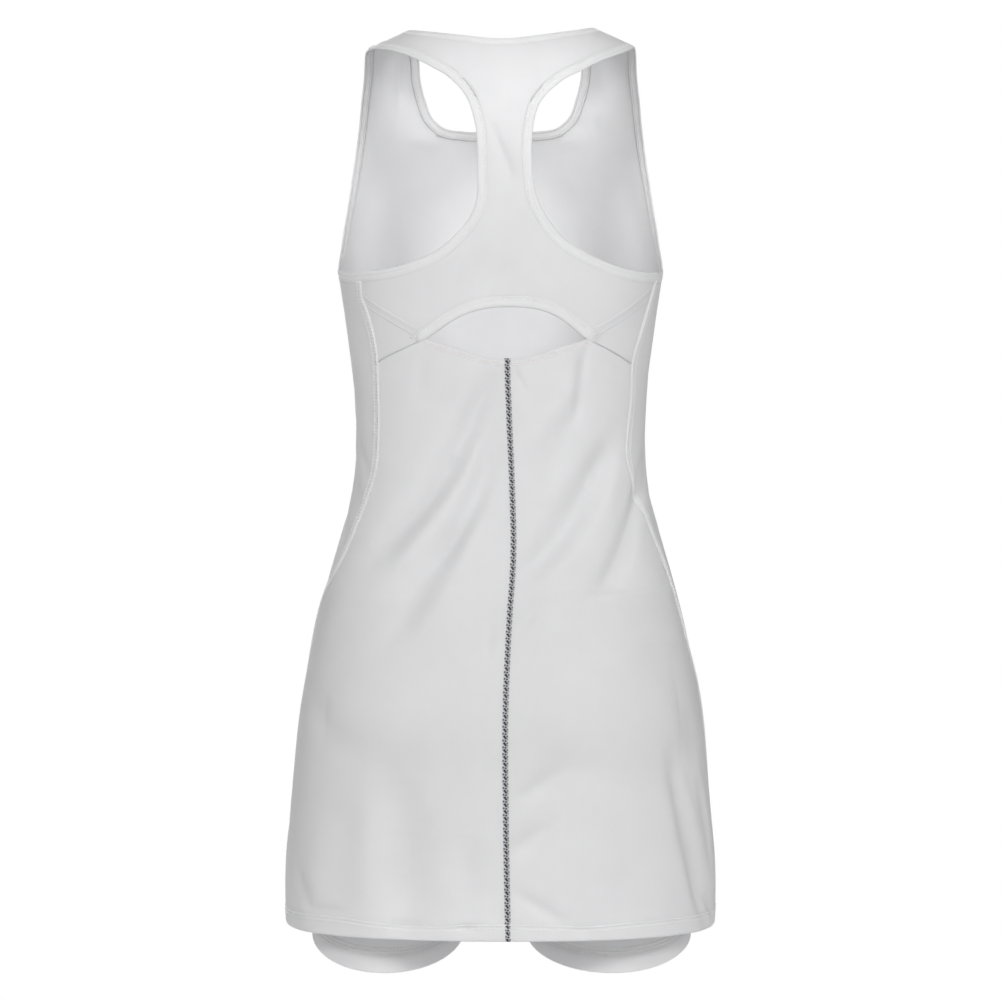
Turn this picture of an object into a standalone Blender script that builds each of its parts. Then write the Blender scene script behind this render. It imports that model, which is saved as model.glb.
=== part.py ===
# Racerback tennis dress with undershorts, filled out and empty, as cloth panels on a hollow form.
# Metres, +Z up. The front faces -Y and the wearer's left is +X.
# A place on the cloth is a turn and a height. The turn is in degrees from centre front towards the
# wearer's left, so 180 is centre back and the wearer's right has negative turns. The height is in
# millimetres, 0 at the top of the straps and CREST on the shoulder seam, where front and back meet.

import bmesh
import bpy
import numpy as np

MM = 0.001

# Cloth and edges, millimetres
CLOTH = 1.2
BAND_CLOTH = 1.8
BAND_PROUD = 0.3
TAPE_CLOTH = 0.8
TAPE_LIFT = 0.5
HALF_SEAM = 0.25
TAPE_WIDTH = 5.4
ARMHOLE_BAND = 8.0
NECK_BAND = 8.5
ARCH_BAND = 9.0
HEM_BAND = 12.0
HEM = -792.0
PANEL_END = HEM + HEM_BAND + HALF_SEAM

# The form: the cloth turns over the shoulders between SHOULDER_START and CREST
CREST = 53.0
SHOULDER_START = -80.0
RIDGE_TOP = 24.4
RIDGE_FALL = 0.002276
SQUARENESS = 0.06

# Lengths along the cloth are compared in millimetres, a degree of turn being about this many
MM_PER_DEGREE = 2.3

# Seam ends: what parts the two sides of the shoulder seam, in height, and corners, in turn
SHOULDER_GAP = 0.6
CORNER_GAP = 0.12
SLANT_GAP = 0.25
ARCH_END_GAP = 0.7
UNDERARM_SAG = 2.5
FRONT_SEAM_START = -211.0

# Undershorts, millimetres
WAISTBAND_TOP = -500.0
WAISTBAND = 36.0
WAISTBAND_IN = 2.2
SHORTS_IN = 8.0
RISE_END = -655.0
CROTCH = -735.0
LEG_END = -802.0
LEG_TILT = 0.30
LEG_HEM = 14.0
LEG_DEPTH = 84.0
LEG_OUTSIDE_SHARE = 0.93

# Grid steps
FRONT_COLUMNS = 7
SIDE_COLUMNS = 4
YOKE_COLUMNS = 5
BACK_COLUMNS = 5
GUSSET_COLUMNS = 4
GUSSET_ROWS = 3
SKIRT_ROWS = 22
FRONT_ARMHOLE_ROWS = 16
UNDERARM_ROWS = 4
NECK_ROWS_FRONT = 9
NECK_ROWS_BACK = 7
COLUMN_ROWS = 9
ARCH_ROWS = 5
HEM_STEPS = 64
LEG_STEPS = 24
CROTCH_STEPS = 8
RISE_ROWS = 6
LEG_ROWS = 5

WHITE = (0.80, 0.80, 0.81)
TAPE_COLOUR = (0.12, 0.13, 0.17)
CLOTH_ROUGHNESS = 0.85


def table(names, rows):
    """A table with a name for each column."""
    return dict(zip(names.split(), np.array(rows, float).T))


# Half width and depths of the form at each height
SECTIONS = table(
    "height half_width front_depth back_depth",
    [
        (-800, 194, 127, 144),
        (-720, 191, 121, 140),
        (-660, 186, 116, 137),
        (-600, 179.5, 111, 133),
        (-560, 172.5, 108, 127),
        (-520, 164, 104, 118),
        (-480, 153.5, 101, 108),
        (-440, 142, 97, 97),
        (-400, 132.5, 95, 88),
        (-360, 130, 96, 84),
        (-300, 133.5, 109, 89),
        (-250, 139.8, 122, 95),
        (-205, 146.5, 122, 99),
        (-170, 150, 115, 100),
        (-130, 151, 104, 99),
        (-80, 151.5, 94, 94),
        (-30, 151, 87, 88),
        (40, 150, 79, 79),
        (70, 150, 78, 78),
    ],
)

# Where each leg's oval end reaches, from the middle of the dress
LEG_ENDS = table("side inner outer", [(1, 33, 169), (-1, 23, 171)])

# The back hangs a little to the wearer's right, and the right shoulder a little higher
LEAN = table(
    "height back_shift shoulder_tilt",
    [
        (-800, -6.6, 0),
        (-680, -4.5, 0),
        (-600, -4.2, 0),
        (-520, -7.5, 0),
        (-460, -11.2, 0),
        (-400, -10, 0),
        (-340, -7.5, 0),
        (-290, -6, 0),
        (-235, -8.5, 0),
        (-150, -4, 0),
        (-90, -3.6, 0),
        (0, -1.5, 0.008),
        (60, 0, 0.0165),
    ],
)

NECK_FRONT = table(
    "turn height",
    [
        (31.5, 53),
        (30, 22),
        (28.5, -4),
        (28, -28),
        (26.4, -46),
        (23.5, -63),
        (20, -70),
        (13, -73),
        (0, -73.5),
    ],
)
NECK_BACK = table(
    "turn height",
    [(148.5, 53), (149.5, 33), (154.3, 12.5), (161, -0.5), (169, -9.5), (176, -14), (180, -14.8)],
)
ARMHOLE_FRONT = table(
    "turn height",
    [
        (50, 53),
        (50.8, 30),
        (51.8, -12),
        (53.2, -38),
        (55.6, -83),
        (59.8, -120),
        (66, -158),
        (75, -188),
        (84, -202),
    ],
)
ARMHOLE_BACK_LEFT = table(
    "turn height",
    [
        (123.2, -213),
        (134.2, -212.4),
        (146.5, -207),
        (156.3, -196.5),
        (163.4, -182),
        (168.1, -168),
        (170.6, -152),
        (170.9, -130),
        (170.9, -107),
        (170.4, -88),
        (167.8, -66.6),
        (161.7, -48),
        (156, -36.5),
        (146.6, -14.6),
        (138, 10),
        (132.2, 36),
        (130, 53),
    ],
)
ARMHOLE_BACK_RIGHT = table(
    "turn height",
    [
        (112.5, -212),
        (128.2, -213.5),
        (142.3, -208.7),
        (152.7, -199),
        (161.2, -185.5),
        (166.3, -168.3),
        (169.4, -151),
        (170.7, -130),
        (171, -107),
        (170.5, -89),
        (168.9, -73.4),
        (161.3, -53),
        (153.6, -39.7),
        (145.6, -23),
        (137, 0),
        (131.3, 30),
        (130, 53),
    ],
)
ARCH = table(
    "turn height",
    [
        (149.6, -272.5),
        (152, -268.7),
        (157.5, -258.7),
        (161.7, -253),
        (168, -247.9),
        (174, -246.3),
        (180, -246),
    ],
)
CUTOUT = table("turn height", [(150.2, -273.6), (161, -281), (172, -289.7), (180, -292)])
YOKE_LOWER_EDGE = table("turn height", [(127.5, -294), (139, -284), (150.2, -273.6)])
BACK_SEAM_LEFT = table(
    "turn height",
    [
        (122.5, -235),
        (125.9, -255),
        (128.2, -282),
        (127.4, -311),
        (125.8, -355),
        (124.6, -385),
        (121.2, -411),
        (118.0, -435),
        (109.7, -476),
        (98, -500),
        (87, -540),
        (81, -600),
        (78, -700),
        (77, -800),
    ],
)
BACK_SEAM_RIGHT = table(
    "turn height",
    [
        (116.7, -237),
        (122, -266),
        (125.6, -293),
        (124.8, -326),
        (126.9, -355),
        (128, -376),
        (124.5, -399),
        (119.8, -430),
        (112.7, -470),
        (108.1, -509),
        (105.2, -545),
        (95, -587),
        (86, -650),
        (81, -720),
        (79, -800),
    ],
)
FRONT_SEAM = table(
    "turn height",
    [
        (84, -202),
        (73, -245),
        (63, -300),
        (57, -355),
        (56, -400),
        (54, -480),
        (50, -600),
        (48, -700),
        (47, -800),
    ],
)

# Soft drag folds of the back and skirt: a line from one place to another, with its width and depth.
# A negative depth sinks in and a positive one stands out.
FOLDS = table(
    "start_turn start_height end_turn end_height width depth",
    [
        (172, -325, 152, -405, 13, -2.0),
        (154, -405, 130, -455, 15, -2.2),
        (169, -400, 138, -520, 12, -2.8),
        (178, -390, 166, -500, 11, -1.6),
        (-161, -340, -171, -430, 14, -2.0),
        (-150, -395, -170, -470, 17, -2.4),
        (-172, -490, -179, -530, 9, -1.8),
        (-134, -420, -143, -485, 11, -2.0),
        (170, -520, 168, -690, 26, 2.2),
        (-150, -510, -148, -600, 32, 2.6),
        (-170, -640, -155, -650, 16, -2.4),
        (138, -680, 136, -770, 20, -2.0),
        (-128, -640, -114, -775, 12, -4.5),
        (-116, -650, -104, -760, 9, 3.0),
        (60, -640, 66, -780, 16, -3.0),
        (20, -650, 26, -785, 22, -3.0),
        (-18, -640, -24, -785, 22, -2.6),
        (-62, -630, -66, -780, 18, -3.2),
    ],
)


def follow(columns, key, place, name):
    """A column read at any place with a smooth cubic through the table's rows."""
    at = columns[key]
    value = columns[name]
    slope = np.gradient(value, at)
    place = np.clip(place, at[0], at[-1])
    row = np.clip(np.searchsorted(at, place) - 1, 0, len(at) - 2)
    span = at[row + 1] - at[row]
    t = (place - at[row]) / span
    start = (2 * t**3 - 3 * t**2 + 1) * value[row] + (t**3 - 2 * t**2 + t) * span * slope[row]
    return start + (3 * t**2 - 2 * t**3) * value[row + 1] + (t**3 - t**2) * span * slope[row + 1]


def fold_depth(turn, height):
    """The sum of the folds: each is a soft trough across its line that fades at the line's ends."""
    depth = np.zeros(np.broadcast(turn, height).shape)
    turn = np.mod(turn + 180, 360) - 180
    for start, start_height, end, end_height, width, deep in zip(*FOLDS.values()):
        along = np.array([(end - start) * MM_PER_DEGREE, end_height - start_height])
        length = np.hypot(*along)
        along = along / length
        around = np.mod(turn - start + 180, 360) - 180
        across_x = around * MM_PER_DEGREE
        across_y = height - start_height
        distance = across_x * along[1] - across_y * along[0]
        t = (across_x * along[0] + across_y * along[1]) / length
        beyond = np.maximum(np.maximum(-t, t - 1), 0) * length / (1.2 * width)
        ends = 0.35 + 0.65 * np.sin(np.pi * np.clip(t, 0, 1)) ** 0.7
        depth = depth + deep * ends * np.exp(-((distance / width) ** 2) - beyond**2)
    return depth


def smooth_form(turn, height):
    """The form with no folds, in metres: a soft oval at each height, turned over the shoulders at the top."""
    turn = np.radians(turn)
    width = follow(SECTIONS, "height", height, "half_width")
    front = follow(SECTIONS, "height", height, "front_depth")
    back = follow(SECTIONS, "height", height, "back_depth")
    squared = 1 + SQUARENESS * np.sin(2 * turn) ** 2
    x = width * np.sin(turn) * squared
    over = np.clip((height - SHOULDER_START) / (CREST - SHOULDER_START), 0, None) * np.pi / 2
    depth = np.where(np.cos(turn) < 0, back, front)
    y = -depth * np.cos(turn) * squared * np.cos(over)
    ridge = RIDGE_TOP - RIDGE_FALL * x**2
    z = np.where(height > SHOULDER_START, SHOULDER_START + (ridge - SHOULDER_START) * np.sin(over), height)
    z = z - follow(LEAN, "height", height, "shoulder_tilt") * x
    x = x + follow(LEAN, "height", height, "back_shift") * np.clip(-np.cos(turn), 0, 1) ** 2
    return np.stack([x, y, z], -1) * MM


def slopes(turn, height):
    """How the form runs with the turn and with the height, and its normal, which points out."""
    step = 0.05
    along_turn = (smooth_form(turn + step, height) - smooth_form(turn - step, height)) / (2 * step)
    along_height = (smooth_form(turn, height + step) - smooth_form(turn, height - step)) / (2 * step)
    normal = np.cross(along_turn, along_height)
    normal = normal / np.linalg.norm(normal, axis=-1, keepdims=True)
    return along_turn, along_height, normal


def on_form(places, out=0.0):
    """Points of the folded form at an array of (turn, height), moved out by some millimetres."""
    turn = places[..., 0]
    height = places[..., 1]
    normal = slopes(turn, height)[2]
    lift = (fold_depth(turn, height) + out) * MM
    return smooth_form(turn, height) + normal * lift[..., None]


def edge(columns, count, side=1):
    """count + 1 places evenly spaced along a table's smooth line, on the wearer's left or right."""
    places = np.stack([columns["turn"], columns["height"]], -1)
    steps = np.hypot(np.diff(places[:, 0]) * MM_PER_DEGREE, np.diff(places[:, 1]))
    at = np.concatenate([[0], np.cumsum(steps)])
    where = np.linspace(0, at[-1], count + 1)
    line = {"at": at, "turn": places[:, 0], "height": places[:, 1]}
    turn = follow(line, "at", where, "turn")
    height = follow(line, "at", where, "height")
    return np.stack([side * turn, height], -1)


def at_heights(columns, heights, side=1):
    """Places on a seam's table at the given heights, which fall."""
    rising = {name: column[::-1] for name, column in columns.items()}
    return np.stack([side * follow(rising, "height", heights, "turn"), heights], -1)


def straight(start, end, count):
    return np.linspace(start, end, count + 1)


def joined(*lines):
    """Lines end to end, each starting where the last one stopped."""
    return np.concatenate([lines[0]] + [line[1:] for line in lines[1:]])


def moved_aside(line, distance, from_crest=False, to_crest=False):
    """A line moved over the cloth by a distance, to the left of its direction as seen from outside."""
    step = np.gradient(line, axis=0)
    if from_crest:
        step[0] = (0, -1)
    if to_crest:
        step[-1] = (0, 1)
    along_turn, along_height, normal = slopes(line[:, 0], line[:, 1])
    tangent = along_turn * step[:, :1] + along_height * step[:, 1:]
    aside = np.cross(normal, tangent)
    aside = aside / np.linalg.norm(aside, axis=-1, keepdims=True) * distance * MM
    turn_turn = (along_turn**2).sum(-1)
    turn_height = (along_turn * along_height).sum(-1)
    height_height = (along_height**2).sum(-1)
    turn_aside = (along_turn * aside).sum(-1)
    height_aside = (along_height * aside).sum(-1)
    whole = turn_turn * height_height - turn_height**2
    turn = (turn_aside * height_height - height_aside * turn_height) / whole
    height = (height_aside * turn_turn - turn_aside * turn_height) / whole
    return line + np.stack([turn, height], -1)


def ruled(first, second, columns):
    """A grid of places: straight rows from each place of one edge to the same place of another."""
    t = np.linspace(0, 1, columns + 1)[None, :, None]
    return first[:, None] * (1 - t) + second[:, None] * t


def patch(top, bottom, left, right):
    """A grid of places inside four edges that share their corners (a Coons patch)."""
    u = np.linspace(0, 1, len(top))[None, :, None]
    v = np.linspace(0, 1, len(left))[:, None, None]
    across = (1 - v) * top[None] + v * bottom[None]
    down = (1 - u) * left[:, None] + u * right[:, None]
    corners = (1 - v) * ((1 - u) * top[0] + u * top[-1]) + v * ((1 - u) * bottom[0] + u * bottom[-1])
    return across + down - corners


def fabric(name, colour):
    material = bpy.data.materials.new(name)
    material.use_nodes = True
    shader = material.node_tree.nodes["Principled BSDF"]
    shader.inputs["Base Color"].default_value = (*colour, 1)
    shader.inputs["Roughness"].default_value = CLOTH_ROUGHNESS
    shader.inputs["Metallic"].default_value = 0
    return material


def grid_faces(rows, columns, ring=False):
    """Quads of a grid of points; a ring also joins the last column to the first."""
    steps = columns if ring else columns - 1
    row, column = np.meshgrid(np.arange(rows - 1), np.arange(steps), indexing="ij")
    first = row * columns + column
    second = row * columns + (column + 1) % columns
    return np.stack([first, second, second + columns, first + columns], -1).reshape(-1, 4)


def cloth(name, grids, colour=WHITE, thickness=CLOTH, ring=False, middle=0.0, outward=False):
    """One object from grids of points that meet along edges, with a wall of the given thickness."""
    mesh = bpy.data.meshes.new(name)
    build = bmesh.new()
    for points in grids:
        rows, columns = points.shape[:2]
        corners = [build.verts.new(point) for point in points.reshape(-1, 3)]
        for quad in grid_faces(rows, columns, ring):
            build.faces.new([corners[index] for index in quad])
    bmesh.ops.remove_doubles(build, verts=build.verts, dist=0.00002)
    bmesh.ops.recalc_face_normals(build, faces=build.faces)
    facing = 0
    for face in build.faces:
        centre = face.calc_center_median()
        facing += face.normal.x * (centre.x - middle) + face.normal.y * centre.y
    if facing < 0:
        bmesh.ops.reverse_faces(build, faces=build.faces)
    build.to_mesh(mesh)
    build.free()
    mesh.shade_smooth()
    mesh.materials.append(fabric(name, colour))
    piece = bpy.data.objects.new(name, mesh)
    dress.objects.link(piece)
    wall = piece.modifiers.new("Wall", "SOLIDIFY")
    wall.thickness = thickness * MM
    wall.offset = 1 if outward else -1
    return piece


def side_name(side):
    return "left" if side > 0 else "right"


class Side:
    """The seams and edges of one side, 1 for the wearer's left and -1 for the right."""

    def __init__(self, side):
        self.side = side
        armhole = ARMHOLE_BACK_LEFT if side > 0 else ARMHOLE_BACK_RIGHT
        seam = BACK_SEAM_LEFT if side > 0 else BACK_SEAM_RIGHT
        self.back_seam = seam
        self.armhole_front = edge(ARMHOLE_FRONT, FRONT_ARMHOLE_ROWS, side)
        self.back_rows = NECK_ROWS_BACK + COLUMN_ROWS + ARCH_ROWS + GUSSET_COLUMNS
        self.armhole_back = edge(armhole, self.back_rows, side)
        self.underarm = straight(self.armhole_front[-1], self.armhole_back[0], UNDERARM_ROWS)
        self.underarm[1:-1, 1] -= UNDERARM_SAG
        self.armhole = joined(self.armhole_front, self.underarm, self.armhole_back)
        self.armhole_panel_edge = self.aside_armhole(ARMHOLE_BAND + HALF_SEAM)
        self.armhole_band_edge = self.aside_armhole(ARMHOLE_BAND - HALF_SEAM)
        last_front = FRONT_ARMHOLE_ROWS
        last_under = FRONT_ARMHOLE_ROWS + UNDERARM_ROWS
        self.panel_front = self.armhole_panel_edge[: last_front + 1]
        self.panel_under = self.armhole_panel_edge[last_front : last_under + 1]
        self.panel_back = self.armhole_panel_edge[last_under:]
        gusset_top = np.array([side * seam["turn"][0], seam["height"][0]])
        gusset_heights = np.linspace(gusset_top[1], YOKE_LOWER_EDGE["height"][0], GUSSET_ROWS + 1)
        skirt_heights = np.linspace(gusset_heights[-1], PANEL_END, SKIRT_ROWS + 1)
        self.seam_gusset = at_heights(seam, gusset_heights, side)
        self.seam_skirt = at_heights(seam, skirt_heights, side)
        underarm_seam = straight(self.panel_back[0], gusset_top, 1)
        self.seam_back = joined(underarm_seam, self.seam_gusset, self.seam_skirt)
        self.front_heights = np.linspace(FRONT_SEAM_START, skirt_heights[-1], len(self.seam_back))
        self.seam_front = at_heights(FRONT_SEAM, self.front_heights, side)
        self.seam_front[0] = self.panel_front[-1]

    def aside_armhole(self, distance):
        """The armhole's line moved onto the cloth, which lies on its right on the wearer's left."""
        return moved_aside(self.armhole, -self.side * distance, from_crest=True, to_crest=True)

    def aside(self, line, distance):
        """A line moved to its left on the wearer's left side, and mirrored on the right side."""
        return moved_aside(line, self.side * distance)


def below_crest(line, first=False, last=False):
    """A line's ends that lie on the shoulder seam drawn back from it."""
    line = line.copy()
    if first:
        line[0, 1] -= SHOULDER_GAP
    if last:
        line[-1, 1] -= SHOULDER_GAP
    return line


def neck_line(columns, rows, distance, centre):
    """The neck's edge on the left, moved onto the cloth, from the shoulder seam to the centre."""
    neck = moved_aside(edge(columns, rows), distance, from_crest=True)
    neck[-1, 0] = centre
    return neck


def arch_line(distance):
    """The arch's edge on the left, moved up onto the cloth, from its end to centre back."""
    arch = moved_aside(edge(ARCH, ARCH_ROWS), distance)
    arch[-1, 0] = 180
    return arch


def front_panel():
    halves = []
    neck = neck_line(NECK_FRONT, NECK_ROWS_FRONT, NECK_BAND + HALF_SEAM, 0)
    centre_rows = FRONT_ARMHOLE_ROWS - NECK_ROWS_FRONT
    centre = straight(neck[-1], (0, FRONT_SEAM_START), centre_rows)
    for shape in sides:
        side = shape.side
        seam = shape.aside(shape.seam_front, -HALF_SEAM)
        seam[0] = shape.panel_front[-1] - (side * CORNER_GAP, 0)
        centre_skirt = np.stack([seam[:, 0] * 0, shape.front_heights], -1)
        outer = below_crest(joined(shape.panel_front, seam), first=True)
        inner = below_crest(joined(neck, centre, centre_skirt) * (side, 1), first=True)
        outer[-1, 1] = inner[-1, 1]
        halves.append(on_form(ruled(outer, inner, FRONT_COLUMNS)))
    cloth("front_panel", halves)


def side_panel(shape):
    front = shape.aside(shape.seam_front, HALF_SEAM)
    back = shape.aside(shape.seam_back, -HALF_SEAM)
    front[0] = shape.panel_under[0] + (shape.side * CORNER_GAP, 0)
    back[0] = shape.panel_under[-1] - (shape.side * CORNER_GAP, 0)
    top = shape.panel_under.copy()
    top[0] = front[0]
    top[-1] = back[0]
    front[-1, 1] = PANEL_END
    back[-1, 1] = PANEL_END
    bottom = straight(front[-1], back[-1], SIDE_COLUMNS)
    cloth("side_panel_" + side_name(shape.side), [on_form(patch(top, bottom, front, back))])


def back_yoke():
    halves = []
    neck = neck_line(NECK_BACK, NECK_ROWS_BACK, -NECK_BAND - HALF_SEAM, 180)
    arch = arch_line(ARCH_BAND + HALF_SEAM)
    centre = straight(neck[-1], arch[-1], COLUMN_ROWS)
    for shape in sides:
        upper = joined(neck, centre, arch[::-1]) * (shape.side, 1)
        slant = straight(upper[-1], shape.seam_gusset[0], GUSSET_COLUMNS)
        slant = shape.aside(slant, -HALF_SEAM)
        slant[0] = upper[-1]
        slant[-1, 0] += shape.side * SLANT_GAP
        inner = joined(upper, slant)
        outer = shape.panel_back[::-1].copy()
        outer[-1, 0] += shape.side * SLANT_GAP
        outer = below_crest(outer, first=True)
        inner = below_crest(inner, first=True)
        halves.append(on_form(ruled(outer, inner, YOKE_COLUMNS)))
    cloth("back_yoke", halves)


def yoke_gusset(shape):
    arch_end = arch_line(ARCH_BAND + HALF_SEAM)[0] * (shape.side, 1)
    slant = straight(arch_end, shape.seam_gusset[0], GUSSET_COLUMNS)[::-1]
    top = shape.aside(slant, -HALF_SEAM)
    bottom = edge(YOKE_LOWER_EDGE, GUSSET_COLUMNS, shape.side)
    bottom = shape.aside(bottom, HALF_SEAM)
    seam = shape.aside(shape.seam_gusset, HALF_SEAM)
    shift = (-shape.side * ARCH_END_GAP, 0)
    top[0, 0] = seam[0, 0]
    bottom[0, 0] = seam[-1, 0]
    seam[0] = top[0]
    seam[-1] = bottom[0]
    top[-1] += shift
    bottom[-1] += shift
    inner = straight(top[-1], bottom[-1], GUSSET_ROWS)
    cloth("yoke_gusset_" + side_name(shape.side), [on_form(patch(top, bottom, seam, inner))])


def turn_beside_centre(distance, height):
    """The turn at a distance from centre back, on the left."""
    return 180 - np.degrees(distance / follow(SECTIONS, "height", height, "half_width"))


def back_panel_grid(shape):
    """The places of a back panel: its last column but one is the edge of the tape."""
    side = shape.side
    top = joined(edge(YOKE_LOWER_EDGE, GUSSET_COLUMNS, side), edge(CUTOUT, BACK_COLUMNS, side))
    top = shape.aside(top, -HALF_SEAM)
    seam = shape.aside(shape.seam_skirt, HALF_SEAM)
    seam[0, 1] = top[0, 1]
    seam[-1, 1] = PANEL_END
    top[0] = seam[0]
    centre = straight(top[-1], (0, PANEL_END), SKIRT_ROWS)
    centre[:, 0] = side * turn_beside_centre(TAPE_WIDTH / 2, centre[:, 1])
    top[-1] = centre[0]
    bottom = straight(seam[-1], centre[-1], len(top) - 1)
    last = centre[:, None].copy()
    last[..., 0] = side * turn_beside_centre(HALF_SEAM, last[..., 1])
    return np.concatenate([patch(top, bottom, seam, centre), last], axis=1)


def back_panel(shape):
    cloth("back_panel_" + side_name(shape.side), [on_form(back_panel_grid(shape))])


def centre_back_tape():
    """The tape is made from the points of the panels under it, moved out, down to the hem's edge."""
    left, right = [back_panel_grid(shape) for shape in sides]
    middle = left[:, -1].copy()
    middle[:, 0] = 180
    places = np.stack([left[:, -2], middle, right[:, -2]], 1)
    end = places[-1:].copy()
    end[..., 1] = HEM
    places = np.concatenate([places, end])
    points = on_form(places, out=TAPE_LIFT)
    cloth("centre_back_tape", [points], colour=TAPE_COLOUR, thickness=TAPE_CLOTH, outward=True)


def band(name, line, inside, first=False, last=False):
    """A thicker strip between an open edge and the panel's edge."""
    places = np.stack([below_crest(line, first, last), below_crest(inside, first, last)], 1)
    cloth(name, [on_form(places, out=BAND_PROUD)], thickness=BAND_CLOTH)


def both_sides(left, centre):
    """A line on the left carried on over the centre to the same line on the right."""
    return joined(left, (left * (-1, 1) + (2 * centre, 0))[::-1])


def neck_bands():
    front = edge(NECK_FRONT, NECK_ROWS_FRONT)
    inside = neck_line(NECK_FRONT, NECK_ROWS_FRONT, NECK_BAND - HALF_SEAM, 0)
    band("neck_band_front", both_sides(front, 0), both_sides(inside, 0), True, True)
    back = edge(NECK_BACK, NECK_ROWS_BACK)
    inside = neck_line(NECK_BACK, NECK_ROWS_BACK, HALF_SEAM - NECK_BAND, 180)
    band("neck_band_back", both_sides(back, 180), both_sides(inside, 180), True, True)


def armhole_band(shape):
    band("armhole_band_" + side_name(shape.side), shape.armhole, shape.armhole_band_edge, True, True)


def arch_band():
    lower = both_sides(edge(ARCH, ARCH_ROWS), 180)
    upper = both_sides(arch_line(ARCH_BAND - HALF_SEAM), 180)
    band("arch_band", lower, upper)


def ring_places(height, count):
    turn = np.linspace(-180, 180, count, endpoint=False)
    return np.stack([turn, np.full(count, float(height))], -1)


def hem_band():
    rows = np.stack([ring_places(HEM + HEM_BAND - HALF_SEAM, HEM_STEPS), ring_places(HEM, HEM_STEPS)])
    cloth("hem_band", [on_form(rows)], thickness=BAND_CLOTH, ring=True)


def shorts_waistband():
    lower = WAISTBAND_TOP - WAISTBAND
    rows = np.stack([ring_places(WAISTBAND_TOP, HEM_STEPS), ring_places(lower, HEM_STEPS)])
    cloth("shorts_waistband", [on_form(rows, out=-CLOTH - WAISTBAND_IN)], thickness=CLOTH, ring=True)


def rise_of_shorts(side):
    """Rows of one half from the waistband down, a little inside the skirt, straight at the centre seams."""
    turn = side * np.linspace(0, 180, LEG_STEPS + 1)
    heights = np.linspace(WAISTBAND_TOP - WAISTBAND - 2 * HALF_SEAM, RISE_END, RISE_ROWS + 1)
    drop = np.linspace(0, 1, RISE_ROWS + 1)[:, None]
    deeper = CLOTH + WAISTBAND_IN + (SHORTS_IN - WAISTBAND_IN) * np.sqrt(drop)
    rise = on_form(np.stack(np.meshgrid(turn, heights), -1), out=-deeper)
    share = np.linspace(0, 1, LEG_STEPS + 1)
    rise[..., 0] -= rise[:, :1, 0] * (1 - share) ** 4 + rise[:, -1:, 0] * share**4
    rise[..., 0] += side * 1.5 * HALF_SEAM * MM
    return rise


def leg_of_shorts(side, waist):
    """Rows of a leg: from the rise's last row, closed by a saddle under the crotch, to a slanting oval."""
    t = np.linspace(0, 1, CROTCH_STEPS + 1)[1:-1]
    front, back = waist[0], waist[-1]
    saddle_y = back[1] + (front[1] - back[1]) * (0.5 - 0.5 * np.cos(np.pi * t))
    saddle_z = (RISE_END + (CROTCH - RISE_END) * np.sin(np.pi * t) ** 0.8) * MM
    saddle = np.stack([np.full(len(t), front[0]), saddle_y, saddle_z], -1)
    top = np.concatenate([waist, saddle])
    row = list(LEG_ENDS["side"]).index(side)
    inner, outer = LEG_ENDS["inner"][row], LEG_ENDS["outer"][row]
    half_turn = np.pi / 2 * LEG_OUTSIDE_SHARE
    outside = np.linspace(-half_turn, half_turn, len(waist))
    angle = np.concatenate([outside, half_turn + 2 * (np.pi - half_turn) * t])
    end_x = side * ((outer + inner) / 2 + (outer - inner) / 2 * np.cos(angle)) * MM
    end_y = LEG_DEPTH * np.sin(angle) * MM
    end_z = (LEG_END + LEG_HEM + 2 * HALF_SEAM) * MM - LEG_TILT * end_y
    end = np.stack([end_x, end_y, end_z], -1)
    share = np.linspace(0, 1, LEG_ROWS + 1)[:, None, None] * np.ones(3)
    share[..., :2] = share[..., :2] ** 2 * (3 - 2 * share[..., :2])
    return top[None] * (1 - share) + end[None] * share


def shorts(side):
    rise = rise_of_shorts(side)
    leg = leg_of_shorts(side, rise[-1])
    closed_leg = np.concatenate([leg, leg[:, :1]], axis=1)
    middle = leg[-1, :, 0].mean()
    cloth("shorts_" + side_name(side), [rise, closed_leg], middle=middle)
    drops = np.array([2 * HALF_SEAM, LEG_HEM])[:, None, None] * np.array([0, 0, -MM])
    hem = leg[-1][None] + drops
    cloth("shorts_hem_" + side_name(side), [hem], thickness=BAND_CLOTH, ring=True, middle=middle)


for old in list(bpy.data.objects):
    bpy.data.objects.remove(old)

dress = bpy.data.collections.new("tennis_dress")
bpy.context.scene.collection.children.link(dress)

sides = [Side(1), Side(-1)]
front_panel()
back_yoke()
neck_bands()
arch_band()
centre_back_tape()
hem_band()
shorts_waistband()
for shape in sides:
    side_panel(shape)
    yoke_gusset(shape)
    back_panel(shape)
    armhole_band(shape)
    shorts(shape.side)
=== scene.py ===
import bmesh
import bpy
import numpy as np
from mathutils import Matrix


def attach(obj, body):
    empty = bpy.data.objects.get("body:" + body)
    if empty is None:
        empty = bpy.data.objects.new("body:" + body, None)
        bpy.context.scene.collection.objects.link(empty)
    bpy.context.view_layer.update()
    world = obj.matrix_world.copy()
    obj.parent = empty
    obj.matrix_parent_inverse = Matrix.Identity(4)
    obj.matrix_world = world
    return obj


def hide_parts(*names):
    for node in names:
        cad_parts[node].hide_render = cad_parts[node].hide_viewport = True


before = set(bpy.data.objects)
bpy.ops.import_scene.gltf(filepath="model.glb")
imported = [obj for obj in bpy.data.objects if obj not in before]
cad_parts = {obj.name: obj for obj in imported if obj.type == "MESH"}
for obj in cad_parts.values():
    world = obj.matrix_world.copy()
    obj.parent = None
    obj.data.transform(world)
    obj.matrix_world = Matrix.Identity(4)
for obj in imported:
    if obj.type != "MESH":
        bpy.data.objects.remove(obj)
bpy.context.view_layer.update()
mm = 0.001

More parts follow.
